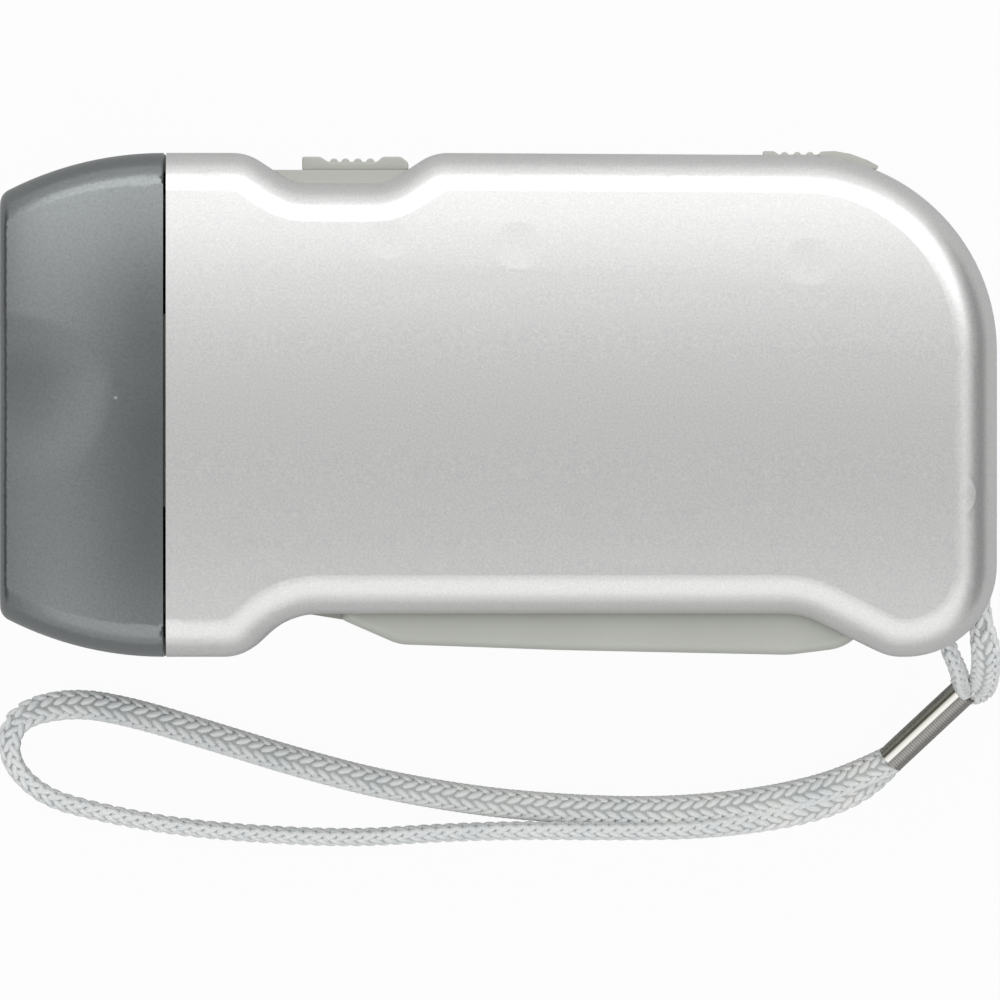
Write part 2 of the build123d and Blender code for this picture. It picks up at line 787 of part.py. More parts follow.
# ---------------------------------------------------------------- drive sector
fan_low = angle_0_1 + (sector_first_tooth - 0.55) * 360 / sector_teeth_full
fan_high = angle_0_1 + (sector_last_tooth + 0.55) * 360 / sector_teeth_full
fan_root = sector_radius - dedendum_share * module_1
rivet_spots = [(-14.0, -20.2), (-6.5, -20.2)]
with BuildPart() as drive_sector:
    with BuildSketch(Plane.XY.offset(gear_z)):
        with Locations(pivot):
            Circle(lever_boss_radius - 0.1)
        with BuildLine():
            fan_arc = CenterArc(pivot, fan_root, fan_low, fan_high - fan_low)
            Line(fan_arc @ 1, pivot)
            Line(pivot, fan_arc @ 0)
        make_face()
        with BuildLine():
            Polyline(
                pivot,
                polar_point(pivot, fan_root - 2.2, fan_low + 1),
                (0.5, lever_recess_y + 3.0),
                (0.5, lever_recess_y + 0.2),
                (-17.0, lever_recess_y + 0.2),
                close=True,
            )
        make_face()
        for count in range(sector_first_tooth, sector_last_tooth + 1):
            tooth_angle = angle_0_1 + count * 360 / sector_teeth_full
            with BuildLine():
                Polyline(*tooth_points(pivot, module_1, sector_teeth_full, tooth_angle), close=True)
            make_face()
        # lightening window in the fan
        with BuildLine():
            window_arc = CenterArc(pivot, fan_root - 4.0, fan_low + 8, fan_high - fan_low - 16)
            window_back = CenterArc(pivot, 12.0, fan_low + 10, fan_high - fan_low - 20)
            Line(window_arc @ 1, window_back @ 1)
            Line(window_back @ 0, window_arc @ 0)
        make_face(mode=Mode.SUBTRACT)
        with Locations(pivot):
            Circle(pivot_pin_radius + run_gap, mode=Mode.SUBTRACT)
        with Locations(*rivet_spots):
            Circle(screw_radius + 0.1, mode=Mode.SUBTRACT)
    extrude(amount=sector_thickness)
finish(drive_sector.part, "drive_sector")

rib_top_z = gear_z + sector_thickness
rib_height = 3.4
with BuildPart() as sector_screws:
    with BuildSketch(Plane.XY.offset(gear_z)):
        with Locations(*rivet_spots):
            Circle(screw_radius - seat_gap)
    extrude(amount=sector_thickness + rib_height - 0.6)
    with BuildSketch(Plane.XY.offset(gear_z)):
        with Locations(*rivet_spots):
            Circle(screw_head_radius - 0.1)
    extrude(amount=-1.0)
finish(sector_screws.part, "sector_screws")

# ---------------------------------------------------------------- lever
lever_top_y = pivot_y + 0.6
grip_front_x = -14.6
lever_edge = [
    (-16.6, -22.5),
    (-10.4, -25.2),
    (6.5, -25.8),
    (30.4, -26.3),
    (36.0, -25.6),
    (lever_rear_x - 0.6, -23.6),
]
with BuildPart() as lever:
    # wide grip
    with BuildSketch(Plane.XY.offset(lever_margin)):
        with BuildLine():
            FilletPolyline(
                (grip_front_x, lever_top_y),
                *lever_edge,
                (lever_rear_x, lever_top_y),
                radius=[0.8, 5.0, 30.0, 8.0, 5.0, 1.2],
            )
            Line((lever_rear_x, lever_top_y), (grip_front_x, lever_top_y))
        make_face()
    extrude(amount=thickness - 2 * lever_margin)
    fillet(
        [
            edge
            for edge in lever.edges()
            if edge.center().Y < lever_recess_y - 0.2 and edge.bounding_box().size.Z < 0.01
        ],
        radius=lever_round,
    )
    # narrow arms that run forward to the pivot
    with BuildSketch(Plane.XY.offset(lever_arm_margin)):
        with BuildLine():
            Polyline(
                (grip_front_x + 4, lever_top_y + 0.9),
                (pivot_x, pivot_y + lever_boss_radius),
                (pivot_x, pivot_y - lever_boss_radius),
                (-19.5, -22.1),
                (-15.8, -22.7),
                (grip_front_x + 4, -25.0),
                close=True,
            )
        make_face()
        with Locations(pivot):
            Circle(lever_boss_radius)
    extrude(amount=thickness - 2 * lever_arm_margin)
    # hollow of the grip, open to the inside of the torch
    with BuildSketch(Plane.XY.offset(lever_margin + lever_wall)):
        with BuildLine():
            FilletPolyline(
                (grip_front_x + 2.4, lever_top_y + 4),
                (grip_front_x + 2.4, -22.4),
                (6.5, lever_edge[2][1] + lever_wall),
                (30.4, lever_edge[3][1] + lever_wall),
                (lever_rear_x - lever_wall, -23.0),
                (lever_rear_x - lever_wall, lever_top_y + 4),
                radius=[0.8, 20.0, 6.0, 1.0],
            )
            Line((lever_rear_x - lever_wall, lever_top_y + 4), (grip_front_x + 2.4, lever_top_y + 4))
        make_face()
    extrude(amount=thickness - 2 * (lever_margin + lever_wall), mode=Mode.SUBTRACT)
    # fork between the arms
    with BuildSketch(Plane.XY.offset(lever_arm_margin + 2.5)):
        with BuildLine():
            Polyline(
                (pivot_x - 6, -13.0),
                (pivot_x - 6, -24.0),
                (-15.4, -24.0),
                (-15.4, -22.4),
                (grip_front_x + 2.4, -22.4),
                (grip_front_x + 6.0, -22.4),
                (grip_front_x + 6.0, -13.0),
                close=True,
            )
        make_face()
    extrude(amount=thickness - 2 * (lever_arm_margin + 2.5), mode=Mode.SUBTRACT)
    # rib that carries the drive sector
    with BuildSketch(Plane.XY.offset(rib_top_z)):
        with BuildLine():
            Polyline(
                (-17.0, -22.2),
                (-17.0, -18.6),
                (0.5, -18.6),
                (2.5, -25.0),
                (-11.0, -25.0),
                close=True,
            )
        make_face()
        with Locations(*rivet_spots):
            Circle(screw_radius, mode=Mode.SUBTRACT)
    extrude(amount=rib_height)
    # lip that the lock hooks under
    with BuildSketch(Plane.XY.offset(lever_margin)):
        with Locations((lever_rear_x + 1.0, -22.4)):
            Rectangle(3.4, 4.4)
    extrude(amount=thickness - 2 * lever_margin, mode=Mode.SUBTRACT)
    # pivot bore
    with BuildSketch(Plane.XY.offset(lever_margin)):
        with Locations(pivot):
            Circle(pivot_pin_radius + run_gap)
    extrude(amount=thickness - 2 * lever_margin, mode=Mode.SUBTRACT)
finish(lever.part, "lever")

# return spring: one bent wire round the pivot, between the lever and a peg
spring_z = gear_z - 1.8 - spring_wire
spring_bend = pivot_pin_radius + 1.6
spring_low_y = pivot_y - spring_bend
spring_end_x = -9.0
spring_path = [
    (spring_end_x, spring_low_y + 0.15),
    (pivot_x - spring_bend, spring_low_y),
    (pivot_x - spring_bend, pivot_y + spring_bend),
    (pivot_x + 1.0, pivot_y + spring_bend + 0.6),
    (spring_peg[0], spring_peg[1] - 1.4 - spring_wire),
]
with BuildPart() as return_spring:
    with BuildLine(Plane.XY.offset(spring_z)) as spring_line:
        FilletPolyline(*spring_path, radius=[spring_bend - 0.1, spring_bend - 0.1, 2.0])
    with BuildSketch(Plane(origin=spring_line.line @ 0, z_dir=spring_line.line % 0)):
        RegularPolygon(spring_wire, 8)
    sweep()
finish(return_spring.part, "return_spring")

# ---------------------------------------------------------------- power pack
with BuildPart() as battery:
    with BuildSketch(Plane.XY.offset(board_z)):
        with Locations((cell_x, cell_y)):
            Circle(cell_radius)
    extrude(amount=-cell_thickness + 0.6)
    with BuildSketch(Plane.XY.offset(board_z - cell_thickness + 0.6)):
        with Locations((cell_x, cell_y)):
            Circle(cell_radius - 1.2)
    extrude(amount=-0.6)
    fillet(battery.edges().filter_by(GeomType.CIRCLE).sort_by(SortBy.RADIUS)[-2:], radius=0.4)
finish(battery.part, "battery")

with BuildPart() as battery_clip:
    with BuildSketch(Plane.XY.offset(board_z - cell_thickness)):
        with Locations((cell_x, cell_y)):
            Rectangle(5.0, 2 * cell_radius + 1.8)
    extrude(amount=-0.4)
    with BuildSketch(Plane.XY.offset(board_z)):
        with Locations((cell_x, cell_y + cell_radius + 0.7), (cell_x, cell_y - cell_radius - 0.7)):
            Rectangle(5.0, 0.4)
    extrude(amount=-cell_thickness - 0.4)
finish(battery_clip.part, "battery_clip")

board_front = -33.0
board_rear = -9.0
board_low = -9.5
board_high = 19.5
with BuildPart() as power_board:
    with BuildSketch(Plane.XY.offset(board_z)):
        with Locations(((board_front + board_rear) / 2, (board_low + board_high) / 2)):
            RectangleRounded(board_rear - board_front, board_high - board_low, 1.5)
        with Locations(*board_post_spots):
            Circle(screw_radius + 0.1, mode=Mode.SUBTRACT)
        with Locations(screw_spots[0]):
            Circle(boss_radius + side_gap, mode=Mode.SUBTRACT)
    extrude(amount=board_thickness)
finish(power_board.part, "power_board")

with BuildPart() as board_screws:
    with BuildSketch(Plane.XY.offset(board_z)):
        with Locations(*board_post_spots):
            Circle(screw_radius - seat_gap)
    extrude(amount=board_thickness + 3.6)
    with BuildSketch(Plane.XY.offset(board_z)):
        with Locations(*board_post_spots):
            Circle(screw_head_radius - 0.1)
    extrude(amount=-1.0)
finish(board_screws.part, "board_screws")

with BuildPart() as rectifier_diodes:
    with BuildSketch(Plane.XY.offset(board_top_z)):
        with Locations((cell_x, cell_y)):
            with GridLocations(0, 3.2, 1, 4):
                Rectangle(5.2, 1.8)
    extrude(amount=1.8)
    fillet(rectifier_diodes.edges().filter_by(Axis.X).group_by(Axis.Z)[-1], radius=0.7)
finish(rectifier_diodes.part, "rectifier_diodes")

# ---------------------------------------------------------------- switch
with BuildSketch() as seat:
    add(body_outline(shell_front_x))
    offset(amount=0.03)
seat_outline = seat.sketch

recess_floor = top_y - recess_depth
plate_top = recess_floor + plate_rise
plate_width = 24.0
stem_front = -17.6
stem_width = 3.6
stem_length = 3.4
with BuildPart() as switch_plate:
    with BuildSketch(Plane.XY.offset(mid_z - plate_width / 2)):
        with Locations(((recess_front + recess_rear) / 2, recess_floor + plate_rise / 2)):
            Rectangle(recess_rear - recess_front + 3 * recess_slope, plate_rise)
        add(seat_outline, mode=Mode.SUBTRACT)
    extrude(amount=plate_width)
    # skirt through the window of the shells
    with BuildSketch(Plane.XZ.offset(-recess_floor - 0.1)):
        with Locations(((window_front + window_rear) / 2, mid_z)):
            Rectangle(window_rear - window_front - 0.1, window_width - 0.1)
    extrude(amount=wall + 0.2)
    # slot for the knob's stem
    with BuildSketch(Plane.XZ.offset(-plate_top)):
        with Locations((stem_front + (stem_length - switch_travel) / 2, mid_z)):
            Rectangle(stem_length + switch_travel + 2 * side_gap, stem_width + 2 * side_gap)
    extrude(amount=plate_rise + wall + 2, mode=Mode.SUBTRACT)
finish(switch_plate.part, "switch_plate")

knob_base = plate_top + run_gap
knob_foot = 0.55             # height of the knob's plain skirt
with BuildPart() as switch_knob:
    with BuildSketch(Plane.XY.offset(mid_z - knob_width / 2)):
        with BuildLine():
            FilletPolyline(
                (knob_front, knob_base),
                (knob_front, knob_base + knob_rise),
                (knob_front + 2.0, knob_base + knob_rise),
                (knob_front + 2.3, knob_base + knob_foot + 0.35),
                (knob_rear - 2.9, knob_base + knob_foot + 0.35),
                (knob_rear - 2.6, knob_base + knob_rise),
                (knob_rear - 0.9, knob_base + knob_rise),
                (knob_rear, knob_base + knob_foot),
                (knob_rear, knob_base),
                radius=[0.4, 0.25, 0.15, 0.15, 0.25, 0.4, 0.3],
            )
            Line((knob_rear, knob_base), (knob_front, knob_base))
        make_face()
        for count in range(4):
            with Locations((knob_front + 3.2 + count * knob_rib_pitch, knob_base + knob_foot + 0.5)):
                Circle(0.42)
    extrude(amount=knob_width)
    # stem down through the plate
    with BuildSketch(Plane.XZ.offset(-knob_base)):
        with Locations((stem_front + stem_length / 2, mid_z)):
            Rectangle(stem_length, stem_width)
    extrude(amount=plate_rise + wall + 1.2)
finish(switch_knob.part, "switch_knob")

housing_top = recess_floor - wall - 0.2
housing_height = 5.0
housing_front = -21.0
housing_rear = -11.6
stem_end = knob_base - plate_rise - wall - 1.2
with BuildPart() as slide_switch_body:
    with BuildSketch(Plane.XZ.offset(-housing_top)):
        with Locations(((housing_front + housing_rear) / 2, mid_z)):
            Rectangle(housing_rear - housing_front, 8.0)
    extrude(amount=housing_height)
    with BuildSketch(Plane.XZ.offset(-housing_top)):
        with Locations((stem_front + (stem_length - switch_travel) / 2, mid_z)):
            Rectangle(stem_length + switch_travel + 2 * side_gap, stem_width + 2 * side_gap)
    extrude(amount=3.6, mode=Mode.SUBTRACT)
finish(slide_switch_body.part, "slide_switch_body")

with BuildPart() as switch_slider:
    with BuildSketch(Plane.XZ.offset(-stem_end)):
        with Locations((stem_front + stem_length / 2, mid_z)):
            Rectangle(stem_length, stem_width)
    extrude(amount=stem_end - housing_top + 3.3)
finish(switch_slider.part, "switch_slider")

# ---------------------------------------------------------------- lever lock
lock_base = top_y + 0.02 - top_slope * (lock_front - recess_rear) / (rear_x - recess_rear)
with BuildPart() as lock_knob:
    with BuildSketch(Plane.XY.offset(mid_z - lock_width / 2)):
        with BuildLine():
            Polyline(
                (lock_front, lock_base),
                (lock_front, lock_base + lock_rise),
                (lock_front + 6.0, lock_base + lock_rise),
                (lock_rear - 0.3, lock_base - 0.75),
                (lock_rear, lock_base - 1.1),
                (lock_rear - 1.2, lock_base - 1.1),
                (lock_front + 6.0, lock_base),
                close=True,
            )
        make_face()
        for count in range(4):
            with Locations((lock_front + 0.7 + count * 1.33, lock_base + 0.2)):
                Circle(0.5)
        add(seat_outline, mode=Mode.SUBTRACT)
    extrude(amount=lock_width)
    # neck through the slot in the shells
    with BuildSketch(Plane.XZ.offset(-lock_base - 0.3)):
        with Locations((lock_slot_front + side_gap + 2.0, mid_z)):
            Rectangle(4.0, lock_slot_width - 2 * side_gap)
    extrude(amount=wall + 1.1)
finish(lock_knob.part, "lock_knob")

lock_neck_end = lock_base + 0.3 - wall - 1.1
with BuildPart() as lock_hook:
    with BuildSketch(Plane.XY.offset(lock_arm_z)):
        with BuildLine():
            FilletPolyline(
                (lock_slot_front + side_gap, lock_neck_end),
                (lock_slot_front + side_gap, lock_neck_end - 1.8),
                (36.8, lock_neck_end - 4.6),
                (lock_arm_x, 15.0),
                (lock_arm_x, -21.2),
                (lock_arm_x - 0.75, -21.2),
                (lock_arm_x - 0.75, -22.2),
                (lock_arm_x + lock_arm_length, -22.2),
                (lock_arm_x + lock_arm_length, 16.0),
                (38.4, lock_neck_end - 3.2),
                (33.6, lock_neck_end),
                radius=[0.4, 2.0, 3.0, 0.2, 0.2, 0.3, 0.5, 4.0, 1.5],
            )
            Line((33.6, lock_neck_end), (lock_slot_front + side_gap, lock_neck_end))
        make_face()
    extrude(amount=lock_arm_thickness)
finish(lock_hook.part, "lock_hook")

# ---------------------------------------------------------------- wrist strap
# The flat knitted cord stands in as a round tube of the same section area.
ferrule_top = (49.35, -30.0, 6.6)
ferrule_low = (41.7, -37.2, 2.95)
ferrule_width = 3.0
ferrule_height = 5.2


def along(start, end, distance):
    """The point that lies distance past start on the way to end."""
    way = Vector(*end) - Vector(*start)
    return Vector(*start) + way.normalized() * distance


ferrule_way = (Vector(*ferrule_low) - Vector(*ferrule_top)).normalized()
ferrule_side = Vector(0, 0, 1).cross(ferrule_way).normalized()
ferrule_up = ferrule_way.cross(ferrule_side).normalized()
with BuildPart() as strap_ferrule:
    ferrule_plane = Plane(origin=ferrule_top, x_dir=ferrule_side, z_dir=ferrule_way)
    with BuildSketch(ferrule_plane):
        RectangleRounded(ferrule_width, ferrule_height, 1.2)
    extrude(amount=(Vector(*ferrule_low) - Vector(*ferrule_top)).length)
finish(strap_ferrule.part, "strap_ferrule")


def cord_radii(route):
    """The largest arc that each corner of a route allows."""
    radii = []
    for before, corner, after in zip(route, route[1:], route[2:]):
        first = Vector(*corner) - Vector(*before)
        second = Vector(*after) - Vector(*corner)
        half = math.radians(first.get_angle(second)) / 2
        radii.append(0.45 * min(first.length, second.length) / math.tan(half))
    return radii


def cord(name, route, radii):
    """A tube along a route, with its length and arcs printed."""
    with BuildPart() as tube:
        with BuildLine() as line:
            FilletPolyline(*route, radius=radii)
        with BuildSketch(Plane(origin=line.line @ 0, z_dir=line.line % 0)):
            Circle(cord_radius)
        sweep()
    length = line.wires()[0].length
    ratio = tube.part.volume / (length * math.pi * cord_radius**2)
    print(name, "length", round(length, 1), "volume ratio", round(ratio, 4))
    print(name, "radii", [round(radius, 1) for radius in radii])
    finish(tube.part, name)


cord_step = 1.2
bar_turn = bar_radius + cord_radius + run_gap
upper_start = Vector(*ferrule_top) + ferrule_up * -cord_step
lower_start = Vector(*ferrule_top) + ferrule_up * cord_step
if upper_start.Z < lower_start.Z:
    upper_start, lower_start = lower_start, upper_start
anchor_route = [
    tuple(upper_start),
    (48.75, -29.5, 11.0),
    (47.7, -28.3, 15.4),
    (46.6, -25.9, 18.9),
    (bar_x - bar_turn, -22.6, mid_z),
    (bar_x - bar_turn, bar_y + bar_turn, mid_z),
    (bar_x + bar_turn, bar_y + bar_turn, mid_z),
    (bar_x + bar_turn, -22.8, mid_z),
    (51.3, -26.3, 18.4),
    (51.2, -29.0, 13.4),
    (50.6, -30.2, 8.4),
    tuple(lower_start),
]
anchor_radii = cord_radii(anchor_route)
anchor_radii[4] = bar_turn - 0.01
anchor_radii[5] = bar_turn - 0.01
cord("strap_anchor_loop", anchor_route, anchor_radii)

upper_end = Vector(*ferrule_low) + ferrule_up * -cord_step
lower_end = Vector(*ferrule_low) + ferrule_up * cord_step
if upper_end.Z < lower_end.Z:
    upper_end, lower_end = lower_end, upper_end
wrist_route = [
    tuple(upper_end),
    (38.6, -38.9, 2.9),
    (33.5, -40.8, 2.1),
    (25.8, -42.3, 2.0),
    (16.5, -43.0, 1.9),
    (7.0, -42.7, 1.6),
    (-2.0, -41.9, 1.1),
    (-12.0, -40.2, 1.1),
    (-20.5, -38.0, 1.1),
    (-29.0, -35.4, 1.1),
    (-38.5, -32.5, 1.1),
    (-44.5, -31.6, 1.1),
    (-49.6, -33.2, 1.1),
    (-50.9, -37.0, 1.1),
    (-47.8, -41.0, 1.1),
    (-42.0, -43.1, 1.1),
    (-34.0, -44.6, 1.1),
    (-25.0, -45.4, 1.1),
    (-15.0, -45.8, 1.1),
    (-6.0, -45.2, 1.1),
    (3.0, -44.95, 1.1),
    (12.5, -45.05, 1.1),
    (21.5, -44.9, 1.1),
    (29.5, -43.8, 1.1),
    (36.0, -41.9, 1.1),
    (39.9, -39.4, 1.2),
    tuple(lower_end),
]
cord("strap_wrist_loop", wrist_route, cord_radii(wrist_route))
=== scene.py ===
import json
import math

import bmesh
import bpy
from mathutils import Matrix, Vector


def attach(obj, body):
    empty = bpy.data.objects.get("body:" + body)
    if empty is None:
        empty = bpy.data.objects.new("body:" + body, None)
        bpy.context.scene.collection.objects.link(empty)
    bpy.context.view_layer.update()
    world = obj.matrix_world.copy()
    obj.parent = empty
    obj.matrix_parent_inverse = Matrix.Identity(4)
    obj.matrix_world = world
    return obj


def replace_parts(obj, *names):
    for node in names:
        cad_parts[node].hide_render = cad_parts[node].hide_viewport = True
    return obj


# Squeeze-lever dynamo torch with a knitted wrist strap, lying on its right side.

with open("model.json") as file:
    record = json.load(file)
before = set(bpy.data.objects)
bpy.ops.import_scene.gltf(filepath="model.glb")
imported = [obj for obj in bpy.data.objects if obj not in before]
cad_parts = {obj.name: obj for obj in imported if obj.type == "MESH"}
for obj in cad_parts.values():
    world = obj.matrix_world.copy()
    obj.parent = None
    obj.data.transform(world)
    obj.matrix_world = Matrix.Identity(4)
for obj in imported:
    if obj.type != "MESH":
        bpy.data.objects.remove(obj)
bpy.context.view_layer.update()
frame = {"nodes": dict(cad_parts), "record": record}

MM = 0.001

# ------------------------------------------------------------------ photograph's frame
# 0.105 mm a pixel at the torch's mid height; the picture's middle lies at these places.
pixel = 0.105 * MM
picture_pixels = 1000
picture_middle = (0.2 * MM, -10.1 * MM)
mid_z = 20 * MM


def add_camera():
    """A long lens straight above the torch, with the switch side up in the picture."""
    lens = 1200.0
    camera_data = bpy.data.cameras.new("camera")
    camera_data.lens = lens
    camera_data.sensor_width = 36.0
    camera_data.sensor_fit = "HORIZONTAL"
    distance = pixel * picture_pixels * lens / camera_data.sensor_width
    camera_data.clip_end = 20.0
    camera = bpy.data.objects.new("camera", camera_data)
    camera.location = (*picture_middle, mid_z + distance)
    bpy.context.scene.collection.objects.link(camera)
    bpy.context.scene.camera = camera


# ------------------------------------------------------------------ sizes of the torch
# Millimetres, as the solids have them.
ferrule_top = (49.35, -30.0, 6.6)
ferrule_low = (41.7, -37.2, 2.95)
head_rear = -35.0
head_front = -52.1
half_thickness = 20.06
crown_radius = 180.0
head_side_radius = 50.0
middle_y = -0.15
middle_z = 20.0
rim_start = -50.4            # ahead of this the solid's own rim is kept under the scoop
scoop_middle = (-54.0, 2.2)
scoop_reach = 14.0           # towards the seam
scoop_up = 7.6               # towards the switch, where the scoop ends steeply
scoop_down = 13.5
scoop_deepest = 1.15
knob_half_width = 5.0
rib_half_width = 4.8
rib_radius = 0.45
# what reaches down from each knob through its slot, corner to corner
switch_stem = ((-17.6, 20.05, 18.2), (-14.2, 24.9, 21.8))
lock_stem = ((30.3, 23.41, 17.3), (34.3, 26.0, 22.7))


# ------------------------------------------------------------------ materials
def srgb(code):
    """A linear colour from an sRGB hex value such as "c8c8c8"."""
    channels = [int(code[place:place + 2], 16) / 255 for place in (0, 2, 4)]
    linear = [c / 12.92 if c <= 0.04045 else ((c + 0.055) / 1.055) ** 2.4 for c in channels]
    return (*linear, 1.0)


def node(tree, kind, settings=None, stops=(), **links):
    """Add a node with its settings and colour stops, and link or set its inputs.

    An input goes by its name, with _ for a space, or by i and its number.
    """
    made = tree.nodes.new(kind)
    for name, value in (settings or {}).items():
        setattr(made, name, value)
    if stops:
        elements = made.color_ramp.elements
        while len(elements) < len(stops):
            elements.new(0.5)
        for element, (position, code) in zip(elements, stops):
            element.position = position
            element.color = srgb(code)
    for name, value in links.items():
        numbered = name[0] == "i" and name[1:].isdigit()
        socket = made.inputs[int(name[1:]) if numbered else name.replace("_", " ")]
        if isinstance(value, bpy.types.NodeSocket):
            tree.links.new(value, socket)
        else:
            socket.default_value = value
    return made


def new_material(name):
    """A material with only a Principled shader, ready to be wired."""
    material = bpy.data.materials.new(name)
    material.use_nodes = True
    tree = material.node_tree
    return material, tree, tree.nodes["Principled BSDF"]


# The part of a noise texture's range that the finishes spread over their own.
noise_low = 0.3
noise_high = 0.7


def silver_lacquer():
    """Satin silver lacquer on moulded ABS: aluminium flake gives a fine sparkle."""
    material, tree, shader = new_material("satin silver lacquer")
    flake_mm = 0.22           # real flake is finer than the render can show
    cloud_mm = 9.0            # the moulding's slight unevenness under the lacquer
    place = node(tree, "ShaderNodeTexCoord").outputs["Object"]
    flake = node(
        tree, "ShaderNodeTexNoise", Vector=place, Scale=1000 / flake_mm, Detail=2.0, Roughness=0.6
    )
    cloud = node(tree, "ShaderNodeTexNoise", Vector=place, Scale=1000 / cloud_mm, Detail=2.0)
    grain = node(
        tree,
        "ShaderNodeMapRange",
        Value=flake.outputs["Fac"],
        From_Min=noise_low,
        From_Max=noise_high,
        To_Min=0.30,
        To_Max=0.34,
    )
    colour = node(
        tree,
        "ShaderNodeValToRGB",
        stops=[(0.3, "d8d8d9"), (0.5, "dfdfde"), (0.7, "e7e7e5")],
        i0=flake.outputs["Fac"],
    ).outputs[0]
    drift = node(
        tree, "ShaderNodeBump", Height=cloud.outputs["Fac"], Strength=0.15, Distance=0.02 * MM
    )
    tree.links.new(colour, shader.inputs["Base Color"])
    tree.links.new(grain.outputs[0], shader.inputs["Roughness"])
    tree.links.new(drift.outputs[0], shader.inputs["Normal"])
    shader.inputs["Metallic"].default_value = 0.85
    return material


def smoke_lacquer():
    """Smoke-grey metallic lacquer on moulded ABS: darker than the shell, as satin."""
    material, tree, shader = new_material("satin smoke lacquer")
    flake_mm = 0.25
    cloud_mm = 14.0
    place = node(tree, "ShaderNodeTexCoord").outputs["Object"]
    flake = node(tree, "ShaderNodeTexNoise", Vector=place, Scale=1000 / flake_mm, Detail=2.0)
    cloud = node(tree, "ShaderNodeTexNoise", Vector=place, Scale=1000 / cloud_mm, Detail=1.0)
    colour = node(
        tree,
        "ShaderNodeValToRGB",
        stops=[(0.3, "838687"), (0.5, "878b8c"), (0.7, "8b8f8e")],
        i0=flake.outputs["Fac"],
    ).outputs[0]
    gloss = node(
        tree,
        "ShaderNodeMapRange",
        Value=cloud.outputs["Fac"],
        From_Min=noise_low,
        From_Max=noise_high,
        To_Min=0.23,
        To_Max=0.27,
    )
    tree.links.new(colour, shader.inputs["Base Color"])
    tree.links.new(gloss.outputs[0], shader.inputs["Roughness"])
    shader.inputs["Metallic"].default_value = 0.95
    return material


def moulded_plastic(name, low, middle, high, roughness, grain_mm, depth_mm):
    """Moulded plastic with a spark-eroded grain: fine pits break up its sheen."""
    material, tree, shader = new_material(name)
    patch_mm = 12.0
    place = node(tree, "ShaderNodeTexCoord").outputs["Object"]
    pits = node(tree, "ShaderNodeTexNoise", Vector=place, Scale=1000 / grain_mm, Detail=3.0)
    patch = node(tree, "ShaderNodeTexNoise", Vector=place, Scale=1000 / patch_mm, Detail=2.0)
    colour = node(
        tree,
        "ShaderNodeValToRGB",
        stops=[(0.3, low), (0.5, middle), (0.7, high)],
        i0=patch.outputs["Fac"],
    ).outputs[0]
    gloss = node(
        tree,
        "ShaderNodeMapRange",
        Value=pits.outputs["Fac"],
        From_Min=noise_low,
        From_Max=noise_high,
        To_Min=roughness - 0.06,
        To_Max=roughness + 0.06,
    )
    lift = node(
        tree, "ShaderNodeBump", Height=pits.outputs["Fac"], Strength=0.35, Distance=depth_mm * MM
    )
    tree.links.new(colour, shader.inputs["Base Color"])
    tree.links.new(gloss.outputs[0], shader.inputs["Roughness"])
    tree.links.new(lift.outputs[0], shader.inputs["Normal"])
    shader.inputs["IOR"].default_value = 1.53
    return material


def worked_metal(name, low, high, roughness, line_mm, stretch):
    """Metal with fine drawn lines: its streaks run along one axis."""
    material, tree, shader = new_material(name)
    place = node(tree, "ShaderNodeTexCoord").outputs["Object"]
    drawn = node(tree, "ShaderNodeMapping", Vector=place, Scale=stretch)
    lines = node(
        tree, "ShaderNodeTexNoise", Vector=drawn.outputs[0], Scale=1000 / line_mm, Detail=3.0
    )
    colour = node(
        tree, "ShaderNodeValToRGB", stops=[(0.3, low), (0.7, high)], i0=lines.outputs["Fac"]
    ).outputs[0]
    gloss = node(
        tree,
        "ShaderNodeMapRange",
        Value=lines.outputs["Fac"],
        From_Min=noise_low,
        From_Max=noise_high,
        To_Min=roughness - 0.08,
        To_Max=roughness + 0.08,
    )
    lift = node(
        tree, "ShaderNodeBump", Height=lines.outputs["Fac"], Strength=0.2, Distance=0.01 * MM
    )
    tree.links.new(colour, shader.inputs["Base Color"])
    tree.links.new(gloss.outputs[0], shader.inputs["Roughness"])
    tree.links.new(lift.outputs[0], shader.inputs["Normal"])
    shader.inputs["Metallic"].default_value = 1.0
    return material


